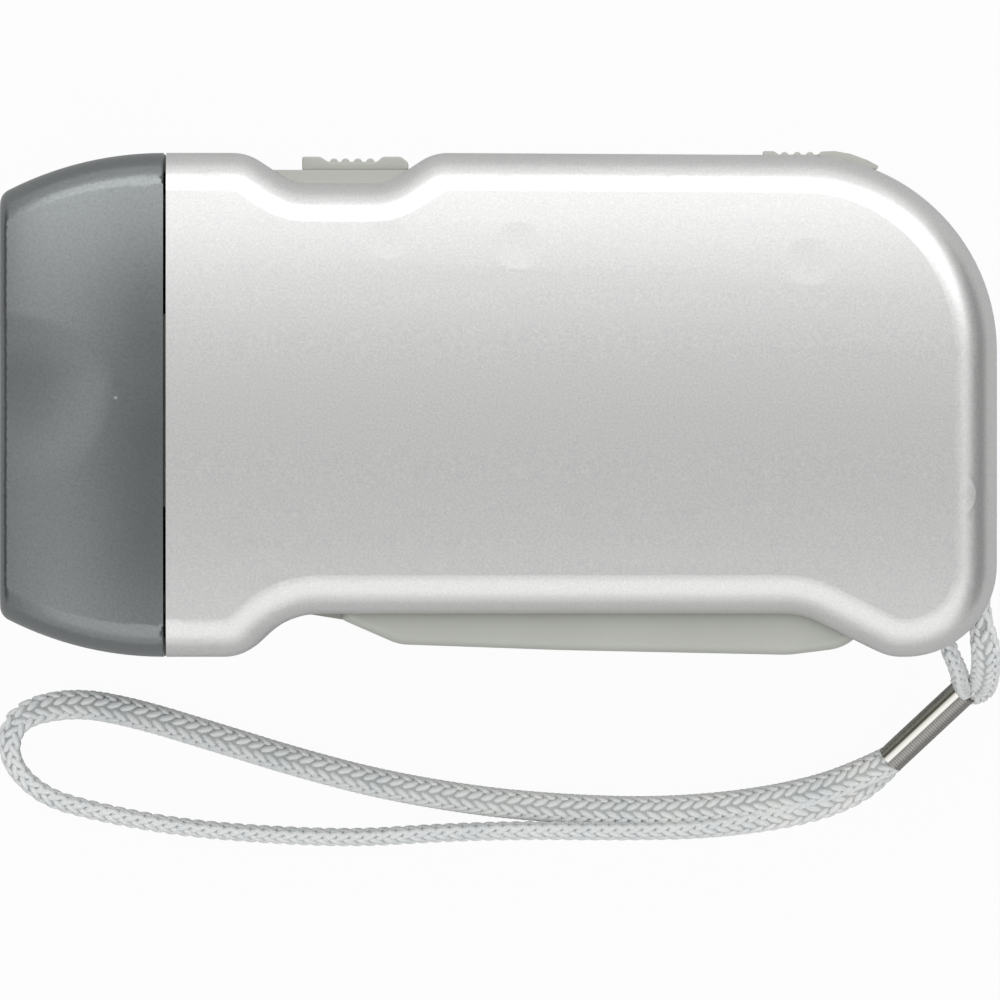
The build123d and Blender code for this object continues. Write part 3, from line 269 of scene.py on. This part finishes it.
def ferrule_metal():
    """Nickel-plated steel, pressed: plain bright strips beside a finely ribbed one, with a painted
    reflection streak and painted shade in the ribs' grooves.
    """
    material, tree, shader = new_material("pressed nickel-plated steel")
    hatch_mm = 0.30           # the pressed lines are nearer 0.2, too fine to show
    half_width_mm = 1.6
    place = node(tree, "ShaderNodeTexCoord").outputs["Object"]
    centre = (Vector(ferrule_top) + Vector(ferrule_low)) / 2 * MM
    way = (Vector(ferrule_low) - Vector(ferrule_top)).normalized()
    side = Vector((0, 0, 1)).cross(way).normalized()
    local = node(
        tree, "ShaderNodeVectorMath", {"operation": "SUBTRACT"}, i0=place, i1=tuple(centre)
    ).outputs["Vector"]
    along = node(
        tree, "ShaderNodeVectorMath", {"operation": "DOT_PRODUCT"}, i0=local, i1=tuple(way)
    ).outputs["Value"]
    across = node(
        tree, "ShaderNodeVectorMath", {"operation": "DOT_PRODUCT"}, i0=local, i1=tuple(side)
    ).outputs["Value"]
    turns = node(
        tree, "ShaderNodeMath", {"operation": "MULTIPLY"}, i0=along, i1=2000 * math.pi / hatch_mm
    ).outputs[0]
    wave = node(tree, "ShaderNodeMath", {"operation": "SINE"}, i0=turns).outputs[0]
    strips = node(
        tree,
        "ShaderNodeMapRange",
        Value=across,
        From_Min=-half_width_mm * MM,
        From_Max=half_width_mm * MM,
    ).outputs[0]
    # Across the width: a pale plain side, a dark olive streak that is a painted reflection, a
    # bright plain strip, a dark line, then the grey ribbed strip.
    tone_with_painted_reflection = node(
        tree,
        "ShaderNodeValToRGB",
        stops=[
            (0.0, "bdbcb6"),
            (0.22, "c4c3bc"),
            (0.26, "77756a"),
            (0.31, "8a8878"),
            (0.34, "efede6"),
            (0.50, "f2f0ea"),
            (0.52, "8c8a86"),
            (0.55, "b4b2ae"),
            (1.0, "aeaca8"),
        ],
        i0=strips,
    ).outputs[0]
    hatched = node(
        tree, "ShaderNodeMath", {"operation": "GREATER_THAN"}, i0=strips, i1=0.53
    ).outputs[0]
    depth = node(
        tree, "ShaderNodeMath", {"operation": "MULTIPLY"}, i0=wave, i1=hatched
    ).outputs[0]
    # Painted shade: the ribs' grooves are darkened in colour towards 6f6d6a, as well as bumped.
    dark = node(
        tree,
        "ShaderNodeMapRange",
        Value=depth,
        From_Min=-1.0,
        From_Max=1.0,
        To_Min=0.45,
        To_Max=-0.45,
    ).outputs[0]
    shade = node(
        tree, "ShaderNodeMix", {"data_type": "RGBA"}, i0=dark, i6=tone_with_painted_reflection, i7=srgb("6f6d6a")
    ).outputs[2]
    lift = node(tree, "ShaderNodeBump", Height=depth, Strength=0.6, Distance=0.05 * MM)
    tree.links.new(shade, shader.inputs["Base Color"])
    tree.links.new(lift.outputs[0], shader.inputs["Normal"])
    shader.inputs["Metallic"].default_value = 1.0
    shader.inputs["Roughness"].default_value = 0.27
    return material


def clear_plastic():
    """Clear acrylic: hard, smooth and slightly cool where it is thick."""
    material, tree, shader = new_material("clear acrylic")
    haze_mm = 3.0
    place = node(tree, "ShaderNodeTexCoord").outputs["Object"]
    haze = node(tree, "ShaderNodeTexNoise", Vector=place, Scale=1000 / haze_mm, Detail=2.0)
    gloss = node(
        tree,
        "ShaderNodeMapRange",
        Value=haze.outputs["Fac"],
        From_Min=noise_low,
        From_Max=noise_high,
        To_Min=0.03,
        To_Max=0.09,
    )
    tree.links.new(gloss.outputs[0], shader.inputs["Roughness"])
    shader.inputs["Base Color"].default_value = srgb("f6f8f9")
    shader.inputs["Transmission Weight"].default_value = 1.0
    shader.inputs["IOR"].default_value = 1.49
    return material


def knit_yarn(name, low, middle, high):
    """Shiny polyester yarn: fine fibres along the stitch and a soft sheen at its edges."""
    material, tree, shader = new_material(name)
    fibre_mm = 0.18
    patch_mm = 4.0
    place = node(tree, "ShaderNodeTexCoord").outputs["Object"]
    fibre = node(tree, "ShaderNodeTexNoise", Vector=place, Scale=1000 / fibre_mm, Detail=3.0)
    patch = node(tree, "ShaderNodeTexNoise", Vector=place, Scale=1000 / patch_mm, Detail=2.0)
    blend = node(
        tree,
        "ShaderNodeMix",
        {"data_type": "FLOAT"},
        i0=0.45,
        i2=fibre.outputs["Fac"],
        i3=patch.outputs["Fac"],
    )
    colour = node(
        tree,
        "ShaderNodeValToRGB",
        stops=[(0.34, low), (0.5, middle), (0.66, high)],
        i0=blend.outputs[0],
    ).outputs[0]
    lift = node(
        tree, "ShaderNodeBump", Height=fibre.outputs["Fac"], Strength=0.5, Distance=0.05 * MM
    )
    tree.links.new(colour, shader.inputs["Base Color"])
    tree.links.new(lift.outputs[0], shader.inputs["Normal"])
    shader.inputs["Roughness"].default_value = 0.30
    shader.inputs["Sheen Weight"].default_value = 0.2
    shader.inputs["Sheen Roughness"].default_value = 0.4
    return material


materials = {
    "silver_shell": silver_lacquer(),
    "smoke_head": smoke_lacquer(),
    "light_grey": moulded_plastic("light grey ABS", "b5b7b0", "b7b9b2", "b9bbb4", 0.45, 0.3, 0.03),
    "clear_lens": clear_plastic(),
    "mirror_bowl": worked_metal("vacuum-coated mirror", "e8eaec", "eef0f2", 0.12, 0.5, (1, 1, 1)),
    "circuit_board": moulded_plastic(
        "green solder mask", "124d2c", "175733", "1d623b", 0.35, 0.4, 0.01
    ),
    "black_chip": moulded_plastic(
        "black moulded epoxy", "141414", "191919", "1f1f1f", 0.5, 0.3, 0.02
    ),
    "white_inner": moulded_plastic(
        "natural acetal", "e2e1d8", "e9e8e0", "f0efe8", 0.38, 0.5, 0.01
    ),
    "brass_pinion": worked_metal("turned brass", "b4914c", "d3b26a", 0.28, 0.2, (1, 1, 6)),
    "copper_wire": worked_metal("enamelled copper wire", "8a4a26", "b5673a", 0.35, 0.2, (1, 1, 6)),
    "ferrite": moulded_plastic("sintered ferrite", "2b2b2d", "303032", "363638", 0.55, 0.2, 0.03),
    "cell_steel": worked_metal("nickel-plated steel", "b9b9ba", "d2d2d2", 0.25, 0.3, (1, 6, 1)),
    "spring_steel": worked_metal("drawn spring steel", "9c9d9f", "bcbdbf", 0.28, 0.1, (1, 6, 6)),
    "nickel_steel": ferrule_metal(),
    "plain_steel": worked_metal("zinc-plated steel", "9d9ea1", "b9babd", 0.35, 0.3, (6, 1, 1)),
    "knit_cord": knit_yarn("knitted polyester yarn", "e6eaeb", "f1f3f3", "fafaf7"),
    # The core's darker yarn is painted shade between the stitches.
    "cord_core": knit_yarn("core yarn with painted shade", "b4b9b9", "bfc3c2", "cacbc8"),
}
materials["clear_led"] = materials["clear_lens"]


def dress_nodes():
    """Give every carried-over node the finish that its slot names."""
    slots = {row["node"]: row["material_slot"] for row in frame["record"]["subparts"]}
    for name, piece in frame["nodes"].items():
        finish = materials[slots[name]]
        piece.data.materials.clear()
        piece.data.materials.append(finish)


def smooth_mesh(bm, name, *slots):
    """Turn a bmesh into a smooth-shaded mesh with the finishes of the given slots."""
    for face in bm.faces:
        face.smooth = True
    mesh = bpy.data.meshes.new(name)
    bm.to_mesh(mesh)
    bm.free()
    for slot in slots:
        mesh.materials.append(materials[slot])
    return mesh


def add_piece(mesh, body):
    """Put a finished mesh in the scene as a piece that rides on a body."""
    piece = bpy.data.objects.new(mesh.name, mesh)
    bpy.context.scene.collection.objects.link(piece)
    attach(piece, body)
    return piece


# ------------------------------------------------------------------ lamp head
def head_surface(x, y):
    """How far the head's crowned side face stands from the middle level, in millimetres."""
    turn_level = half_thickness - head_side_radius
    crown = half_thickness - crown_radius + math.sqrt(crown_radius**2 - (y - middle_y) ** 2)
    return turn_level + math.sqrt((crown - turn_level) ** 2 - (x - head_rear) ** 2)


def scoop_depth(x, y):
    """How deep the finger scoop lies below the crown: it runs out over the front rim."""
    across = scoop_up if y > scoop_middle[1] else scoop_down
    away = Vector(((x - scoop_middle[0]) / scoop_reach, (y - scoop_middle[1]) / across))
    return scoop_deepest * (1 - min(away.length, 1) ** 2) ** 2


def scooped_surface(x, y):
    """How far the head's side face stands from the middle level, scoop and all."""
    return head_surface(x, y) - scoop_depth(x, y)


def crown_normal(x, y, side):
    """The way the scooped crown faces at a place, on the upper or lower side."""
    gap = 0.05
    slope_x, slope_y = (
        (scooped_surface(x + dx, y + dy) - scooped_surface(x - dx, y - dy)) / (2 * gap)
        for dx, dy in ((gap, 0), (0, gap))
    )
    return Vector((-slope_x, -slope_y, side)).normalized()


def cut_grid(bm, low_corner, high_corner, step):
    """Cut a mesh along both flat axes every step between two corners."""
    for axis in (0, 1):
        place = low_corner[axis] + step / 2
        while place < high_corner[axis]:
            point = Vector((0, 0, 0))
            normal = Vector((0, 0, 0))
            point[axis] = place * MM
            normal[axis] = 1
            bmesh.ops.bisect_plane(
                bm,
                geom=bm.verts[:] + bm.edges[:] + bm.faces[:],
                plane_co=point,
                plane_no=normal,
            )
            place += step


def even_normals(mesh):
    """Let the crown's corners face as the true surface does, and leave the others alone."""
    near = 0.06               # how far below the crown a corner may lie
    facing = 0.75             # how much a face of the crown looks up or down at least
    sliver = (0.1 * MM) ** 2
    normals = []
    for face in mesh.polygons:
        side = math.copysign(1, face.center.z - middle_z * MM)
        for vertex in face.vertices:
            x, y, z = mesh.vertices[vertex].co / MM
            outer = abs(z - middle_z) > scooped_surface(x, y) - near
            if outer and (abs(face.normal.z) > facing or face.area < sliver):
                normals.append(crown_normal(x, y, side))
            else:
                normals.append(Vector((0, 0, 0)))
    mesh.normals_split_custom_set(normals)


def add_head():
    """The lamp head with soft finger scoops that run out over its front rim."""
    # how far below the crown a corner may lie and still be moved
    side_skin = 1.3
    rim_skin = 2.2
    low_corner = Vector((head_front, scoop_middle[1] - scoop_down))
    high_corner = Vector((scoop_middle[0] + scoop_reach, scoop_middle[1] + scoop_up))
    bm = bmesh.new()
    bm.from_mesh(frame["nodes"]["head_housing"].data)
    bmesh.ops.remove_doubles(bm, verts=bm.verts, dist=0.001 * MM)
    cut_grid(bm, low_corner, high_corner, 0.4)
    for vert in bm.verts:
        x, y, z = vert.co / MM
        if not (low_corner.x <= x <= high_corner.x and low_corner.y <= y <= high_corner.y):
            continue
        level = abs(z - middle_z)
        behind_rim = x > rim_start
        if level < head_surface(x, y) - (side_skin if behind_rim else rim_skin):
            continue
        if behind_rim:
            level = head_surface(x, y)
        level -= scoop_depth(x, y)
        vert.co.z = (middle_z + math.copysign(level, z - middle_z)) * MM
    mesh = smooth_mesh(bm, "lamp_head", "smoke_head")
    mesh.set_sharp_from_angle(angle=math.radians(28))
    even_normals(mesh)
    piece = add_piece(mesh, "root")
    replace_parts(piece, "head_housing")


# ------------------------------------------------------------------ knobs
def linked_edges(verts):
    """The edges at some vertices, each once and always in the same order."""
    return list(dict.fromkeys(edge for vert in verts for edge in vert.link_edges))


def drop_of(edge):
    """How far one end of an edge lies above or below the other."""
    return abs(edge.verts[0].co.z - edge.verts[1].co.z)


def round_edges(bm, edges, offset, segments):
    """Bevel edges round, by an offset in millimetres."""
    return bmesh.ops.bevel(
        bm,
        geom=edges,
        offset=offset * MM,
        segments=segments,
        profile=0.5,
        affect="EDGES",
        material=-1,
        clamp_overlap=True,
    )


def slab(bm, corners, corner_round, edge_round):
    """Extrude a side outline to a knob's width, with rounded corners and softened edges."""
    low_z = (middle_z - knob_half_width) * MM
    verts = [bm.verts.new((x * MM, y * MM, low_z)) for x, y in corners]
    grown = bmesh.ops.extrude_face_region(bm, geom=[bm.faces.new(verts)])["geom"]
    moved = [item for item in grown if isinstance(item, bmesh.types.BMVert)]
    bmesh.ops.translate(bm, verts=moved, vec=(0, 0, 2 * knob_half_width * MM))
    solid = verts + moved
    upright = [edge for edge in linked_edges(solid) if drop_of(edge) > MM]
    rounded = round_edges(bm, upright, corner_round, 3)["verts"]
    solid = [vert for vert in solid if vert.is_valid] + rounded
    rims = [edge for edge in linked_edges(solid) if drop_of(edge) < 0.01 * MM]
    round_edges(bm, rims, edge_round, 3)


def rib(bm, x, top):
    """A half-round rib that stands out of a knob for the thumb."""
    verts = bmesh.ops.create_cone(
        bm,
        cap_ends=True,
        segments=20,
        radius1=rib_radius * MM,
        radius2=rib_radius * MM,
        depth=2 * rib_half_width * MM,
        matrix=Matrix.Translation((x * MM, (top - rib_radius) * MM, middle_z * MM)),
    )["verts"]
    ends = [edge for edge in linked_edges(verts) if drop_of(edge) < 0.01 * MM]
    round_edges(bm, ends, 0.15, 2)


def stem(bm, low, high):
    """A plain block between two corners, for what reaches down through a slot."""
    low, high = Vector(low) * MM, Vector(high) * MM
    place = Matrix.Translation((low + high) / 2) @ Matrix.Diagonal((*(high - low), 1))
    bmesh.ops.create_cube(bm, size=1.0, matrix=place)


def add_knob(bm, name, body, solid_name):
    """Finish a knob: even faces, crisp edges, and its body to ride on."""
    bmesh.ops.recalc_face_normals(bm, faces=bm.faces)
    mesh = smooth_mesh(bm, name, "light_grey")
    mesh.set_sharp_from_angle(angle=math.radians(40))
    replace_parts(add_piece(mesh, body), solid_name)


def add_knobs():
    """The ribbed switch knob and the lever lock's ribbed knob with its long wedge."""
    bm = bmesh.new()
    slab(
        bm,
        [
            (-20.55, 24.47),
            (-20.55, 25.90),
            (-18.65, 25.90),
            (-17.85, 25.37),
            (-12.65, 25.37),
            (-12.10, 25.90),
            (-10.20, 25.90),
            (-9.42, 25.30),
            (-9.42, 24.47),
        ],
        corner_round=0.22,
        edge_round=0.2,
    )
    for x in (-17.2, -16.0, -14.7, -13.4):
        rib(bm, x, 25.72)
    stem(bm, *switch_stem)
    add_knob(bm, "switch_thumb_knob", "switch", "switch_knob")

    # the wedge, the strip under the ribs, and the lug at its front
    bm = bmesh.new()
    for corners in (
        [
            (33.20, 25.90),
            (33.90, 26.44),
            (35.25, 26.50),
            (36.95, 26.20),
            (38.70, 25.56),
            (39.86, 24.94),
            (39.80, 24.62),
            (38.60, 24.66),
            (36.60, 25.42),
            (34.60, 25.84),
        ],
        [(27.82, 25.85), (27.82, 26.14), (33.80, 26.12), (33.80, 25.85)],
        [(27.82, 25.90), (27.82, 26.50), (28.90, 26.48), (29.50, 26.10), (29.50, 25.90)],
    ):
        slab(bm, corners, corner_round=0.1, edge_round=0.1)
    for x in (30.03, 31.37, 32.70):
        rib(bm, x, 26.40)
    stem(bm, *lock_stem)
    add_knob(bm, "lock_thumb_knob", "lock", "lock_knob")


# ------------------------------------------------------------------ cords
# The strands lie on the surface that the torch lies on.
cord_width = 3.1 * MM
cord_thickness = 1.9 * MM
stitch_pitch = 1.4 * MM
stitch_columns = 8
stitch_slant = math.radians(28)
stitch_half_length = 0.92 * MM
stitch_half_breadth = 0.39 * MM
stitch_half_depth = 0.33 * MM

# Control points in millimetres.
wrist_route = [
    (41.4, -37.5, 4.0),
    (38.6, -38.9, 2.9),
    (33.5, -40.8, 2.1),
    (25.8, -42.3, 2.0),
    (16.5, -43.0, 1.9),
    (7.0, -42.7, 1.6),
    (-2.0, -41.9, 1.1),
    (-12.0, -40.2, 1.1),
    (-20.5, -38.0, 1.1),
    (-29.0, -35.4, 1.1),
    (-38.5, -32.5, 1.1),
    (-45.0, -31.4, 1.1),
    (-51.0, -32.9, 1.2),
    (-51.9, -37.4, 1.4),
    (-48.2, -41.4, 1.5),
    (-42.0, -43.1, 1.5),
    (-34.0, -44.6, 1.5),
    (-25.0, -45.4, 1.5),
    (-15.0, -45.8, 1.5),
    (-6.0, -45.2, 1.5),
    (3.0, -44.95, 1.5),
    (12.5, -45.05, 1.5),
    (21.5, -44.9, 1.4),
    (29.5, -43.8, 1.3),
    (36.0, -41.9, 1.3),
    (39.9, -39.4, 1.3),
    (41.9, -37.0, 1.8),
]
anchor_route = [
    (49.2, -29.9, 7.8),
    (48.8, -29.4, 11.0),
    (48.4, -28.0, 15.2),
    (47.3, -25.6, 18.7),
    (46.45, -22.6, 20.0),
    (46.45, -18.65, 20.0),
    (50.75, -18.65, 20.0),
    (50.75, -22.8, 20.0),
    (51.3, -26.3, 18.4),
    (51.2, -29.0, 13.4),
    (50.6, -30.2, 8.4),
    (49.5, -30.1, 5.4),
]


def cord_line(name, route):
    """The points of the smooth line that a route steers, read from its spline."""
    curve = bpy.data.curves.new(name, "CURVE")
    curve.dimensions = "3D"
    curve.resolution_u = 24
    spline = curve.splines.new("NURBS")
    spline.points.add(len(route) - 1)
    for point, (x, y, z) in zip(spline.points, route):
        point.co = (x * MM, y * MM, z * MM, 1.0)
    spline.order_u = 3
    spline.use_endpoint_u = True
    holder = bpy.data.objects.new(name, curve)
    bpy.context.scene.collection.objects.link(holder)
    mesh = bpy.data.meshes.new_from_object(holder)
    points = [vertex.co.copy() for vertex in mesh.vertices]
    bpy.data.objects.remove(holder)
    bpy.data.curves.remove(curve)
    bpy.data.meshes.remove(mesh)
    return points


def line_stations(points, step):
    """Evenly spaced (place, direction, share of the length) along a line."""
    runs = [(b - a).length for a, b in zip(points, points[1:])]
    total = sum(runs)
    count = max(2, round(total / step))
    stations = []
    run = 0
    passed = 0.0
    for index in range(count + 1):
        goal = total * index / count
        while run < len(runs) - 1 and passed + runs[run] < goal:
            passed += runs[run]
            run += 1
        start, end = points[run], points[run + 1]
        share = min(1.0, (goal - passed) / runs[run])
        stations.append((start.lerp(end, share), (end - start).normalized(), goal / total))
    return stations, total


def smooth_steps(share, steps):
    """A value that eases between the given (share, value) steps."""
    for (s0, v0), (s1, v1) in zip(steps, steps[1:]):
        if share <= s1:
            t = max(0.0, (share - s0) / (s1 - s0))
            return v0 + (v1 - v0) * t * t * (3 - 2 * t)
    return steps[-1][1]


def cross_frame(place, direction, share, twists):
    """The cord's cross-section frame: across, up and along, turned by its twist there."""
    level = Vector((0, 0, 1)).cross(direction)
    if level.length < 0.2:
        level = Vector((1, 0, 0)).cross(direction)
    turn = Matrix.Rotation(math.radians(smooth_steps(share, twists)), 3, direction)
    across = (turn @ level).normalized()
    up = direction.cross(across).normalized()
    return Matrix.Translation(place) @ Matrix((across, up, direction)).transposed().to_4x4()


def stitch_row():
    """One row of the knit: a slanted grain of yarn for each column round the flat cord."""
    bm = bmesh.new()
    for column in range(stitch_columns):
        angle = 2 * math.pi * (column + 0.5) / stitch_columns
        rim = Vector((math.cos(angle) * cord_width, math.sin(angle) * cord_thickness, 0)) / 2
        around = Vector(
            (-math.sin(angle) * cord_width, math.cos(angle) * cord_thickness, 0)
        ).normalized()
        side = 1 if column % 2 else -1
        lean = around * math.sin(stitch_slant) * side
        grain = Vector((0, 0, math.cos(stitch_slant))) + lean
        outward = around.cross(Vector((0, 0, 1)))
        flat = outward.cross(grain)
        axes = Matrix(
            (flat * stitch_half_breadth, outward * stitch_half_depth, grain * stitch_half_length)
        ).transposed()
        step = Vector((0, 0, stitch_pitch / 2 if side > 0 else 0))
        spot = Matrix.Translation(rim - outward * stitch_half_depth + step)
        bmesh.ops.create_uvsphere(
            bm, u_segments=8, v_segments=6, radius=1.0, matrix=spot @ axes.to_4x4()
        )
    bmesh.ops.recalc_face_normals(bm, faces=bm.faces)
    mesh = bpy.data.meshes.new("stitch_row")
    bm.to_mesh(mesh)
    bm.free()
    return mesh


def knitted_cord(name, route, twists):
    """A flat knitted cord: columns of slanted stitches over a core whose darker yarn is painted
    shade between them.
    """
    points = cord_line(name + "_line", route)
    core_sides = 14
    core_share = 0.72
    flat = Matrix.Diagonal((cord_width / 2 * core_share, cord_thickness / 2 * core_share, 1, 1))

    bm = bmesh.new()
    stations = line_stations(points, stitch_pitch / 2)[0]
    last_ring = []
    for place, direction, share in stations:
        verts = bmesh.ops.create_circle(
            bm,
            segments=core_sides,
            radius=1.0,
            matrix=cross_frame(place, direction, share, twists) @ flat,
        )["verts"]
        ring = linked_edges(verts)
        if last_ring:
            bmesh.ops.bridge_loops(bm, edges=last_ring + ring)
        last_ring = ring
    bmesh.ops.holes_fill(bm, edges=[edge for edge in bm.edges if edge.is_boundary])
    bmesh.ops.recalc_face_normals(bm, faces=bm.faces)
    # The core takes the darker yarn: painted shade between the stitches.
    for face in bm.faces:
        face.material_index = 1

    row = stitch_row()
    stations, total = line_stations(points, stitch_pitch)
    for place, direction, share in stations[:-1]:
        placed = row.copy()
        placed.transform(cross_frame(place, direction, share, twists))
        bm.from_mesh(placed)
        bpy.data.meshes.remove(placed)
    bpy.data.meshes.remove(row)
    piece = add_piece(smooth_mesh(bm, name, "knit_cord", "cord_core"), "root")
    return piece, points, total


def add_strap():
    """The wrist loop and the short loop round the bar, both of the same knitted cord."""
    wrist, wrist_points, wrist_length = knitted_cord(
        "knitted_wrist_loop",
        wrist_route,
        [(0.0, 0), (0.06, 0), (0.44, 0), (0.52, 70), (0.62, 80), (0.86, 70), (1.0, 20)],
    )
    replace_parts(wrist, "strap_wrist_loop")
    anchor, anchor_points, anchor_length = knitted_cord(
        "knitted_anchor_loop",
        anchor_route,
        [(0.0, 60), (0.25, 80), (0.4, 90), (0.52, 90), (0.66, 10), (1.0, 0)],
    )
    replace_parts(anchor, "strap_anchor_loop")


# ------------------------------------------------------------------ floor and lights
def add_floor():
    """A pale floor that keeps the torch's soft shadow."""
    white_share = 0.96        # of what the camera sees; the rest is the lit floor
    bm = bmesh.new()
    bmesh.ops.create_grid(bm, x_segments=1, y_segments=1, size=2.0)
    mesh = bpy.data.meshes.new("floor")
    bm.to_mesh(mesh)
    bm.free()
    floor = bpy.data.objects.new("floor", mesh)
    bpy.context.scene.collection.objects.link(floor)
    material, tree, shader = new_material("white paper sweep")
    shader.inputs["Base Color"].default_value = srgb("c2c2c2")
    shader.inputs["Roughness"].default_value = 0.9
    seen = node(tree, "ShaderNodeLightPath")
    glow = node(tree, "ShaderNodeEmission", Color=srgb("ffffff"), Strength=1.0)
    share = node(
        tree,
        "ShaderNodeMath",
        {"operation": "MULTIPLY"},
        i0=seen.outputs["Is Camera Ray"],
        i1=white_share,
    )
    mixed = node(
        tree, "ShaderNodeMixShader", i0=share.outputs[0], i1=shader.outputs[0], i2=glow.outputs[0]
    )
    tree.links.new(mixed.outputs[0], tree.nodes["Material Output"].inputs["Surface"])
    mesh.materials.append(material)


def add_lamp(name, place, aim, size, power):
    """A soft square lamp at place that shines towards aim."""
    data = bpy.data.lights.new(name, "AREA")
    data.shape = "RECTANGLE"
    data.size, data.size_y = size
    data.energy = power
    lamp = bpy.data.objects.new(name, data)
    lamp.location = place
    lamp.rotation_euler = (Vector(aim) - Vector(place)).to_track_quat("-Z", "Y").to_euler()
    bpy.context.scene.collection.objects.link(lamp)


def add_light():
    """A wide soft box on the switch side and a weak one opposite, in a bright room.

    The room's dimmer parts, overhead and at the torch's ends, are tuned to bring the
    lacquer's shading near the photograph's.
    """
    centre = Vector((0, 0, mid_z))
    reach = 1.1
    for name, lean, size, power in (
        ("key", 35, (1.8, 0.9), 5.6),
        ("low", -42, (1.6, 1.1), 1.9),
    ):
        lean = math.radians(lean)
        place = centre + Vector((0, math.sin(lean), math.cos(lean))) * reach
        add_lamp(name, place, centre, size, power)
    world = bpy.data.worlds.new("world")
    bpy.context.scene.world = world
    world.use_nodes = True
    tree = world.node_tree
    backdrop = tree.nodes["Background"]
    sky = node(tree, "ShaderNodeTexCoord").outputs["Generated"]
    parts = node(tree, "ShaderNodeSeparateXYZ", Vector=sky)
    across = parts.outputs["Y"]
    endways = node(
        tree, "ShaderNodeMath", {"operation": "ABSOLUTE"}, i0=parts.outputs["X"]
    ).outputs[0]
    ends = node(
        tree,
        "ShaderNodeMapRange",
        Value=endways,
        From_Min=0.60,
        From_Max=0.86,
        To_Min=1.0,
        To_Max=0.22,
    ).outputs[0]
    overhead = node(
        tree, "ShaderNodeVectorMath", {"operation": "DOT_PRODUCT"}, i0=sky, i1=(0.0, -0.035, 0.999)
    )
    ceiling = node(
        tree,
        "ShaderNodeMapRange",
        Value=overhead.outputs["Value"],
        From_Min=0.92,
        From_Max=0.995,
        To_Min=1.0,
        To_Max=0.40,
    )
    side = node(
        tree,
        "ShaderNodeMapRange",
        Value=across,
        From_Min=0.1,
        From_Max=0.5,
        To_Min=0.80,
        To_Max=0.92,
    )
    sides = node(
        tree, "ShaderNodeMath", {"operation": "MULTIPLY"}, i0=ends, i1=side.outputs[0]
    ).outputs[0]
    room = node(tree, "ShaderNodeMath", {"operation": "MULTIPLY"}, i0=ceiling.outputs[0], i1=sides)
    seen = node(tree, "ShaderNodeLightPath")
    direct = node(
        tree,
        "ShaderNodeMath",
        {"operation": "MAXIMUM"},
        i0=seen.outputs["Is Camera Ray"],
        i1=seen.outputs["Is Transmission Ray"],
    )
    strength = node(
        tree,
        "ShaderNodeMix",
        {"data_type": "FLOAT"},
        i0=direct.outputs[0],
        i2=room.outputs[0],
        i3=1.0,
    )
    backdrop.inputs["Color"].default_value = srgb("ffffff")
    tree.links.new(strength.outputs[0], backdrop.inputs["Strength"])


add_camera()
dress_nodes()
add_head()
add_knobs()
add_strap()
add_floor()
add_light()
bpy.context.scene.view_settings.view_transform = "Standard"
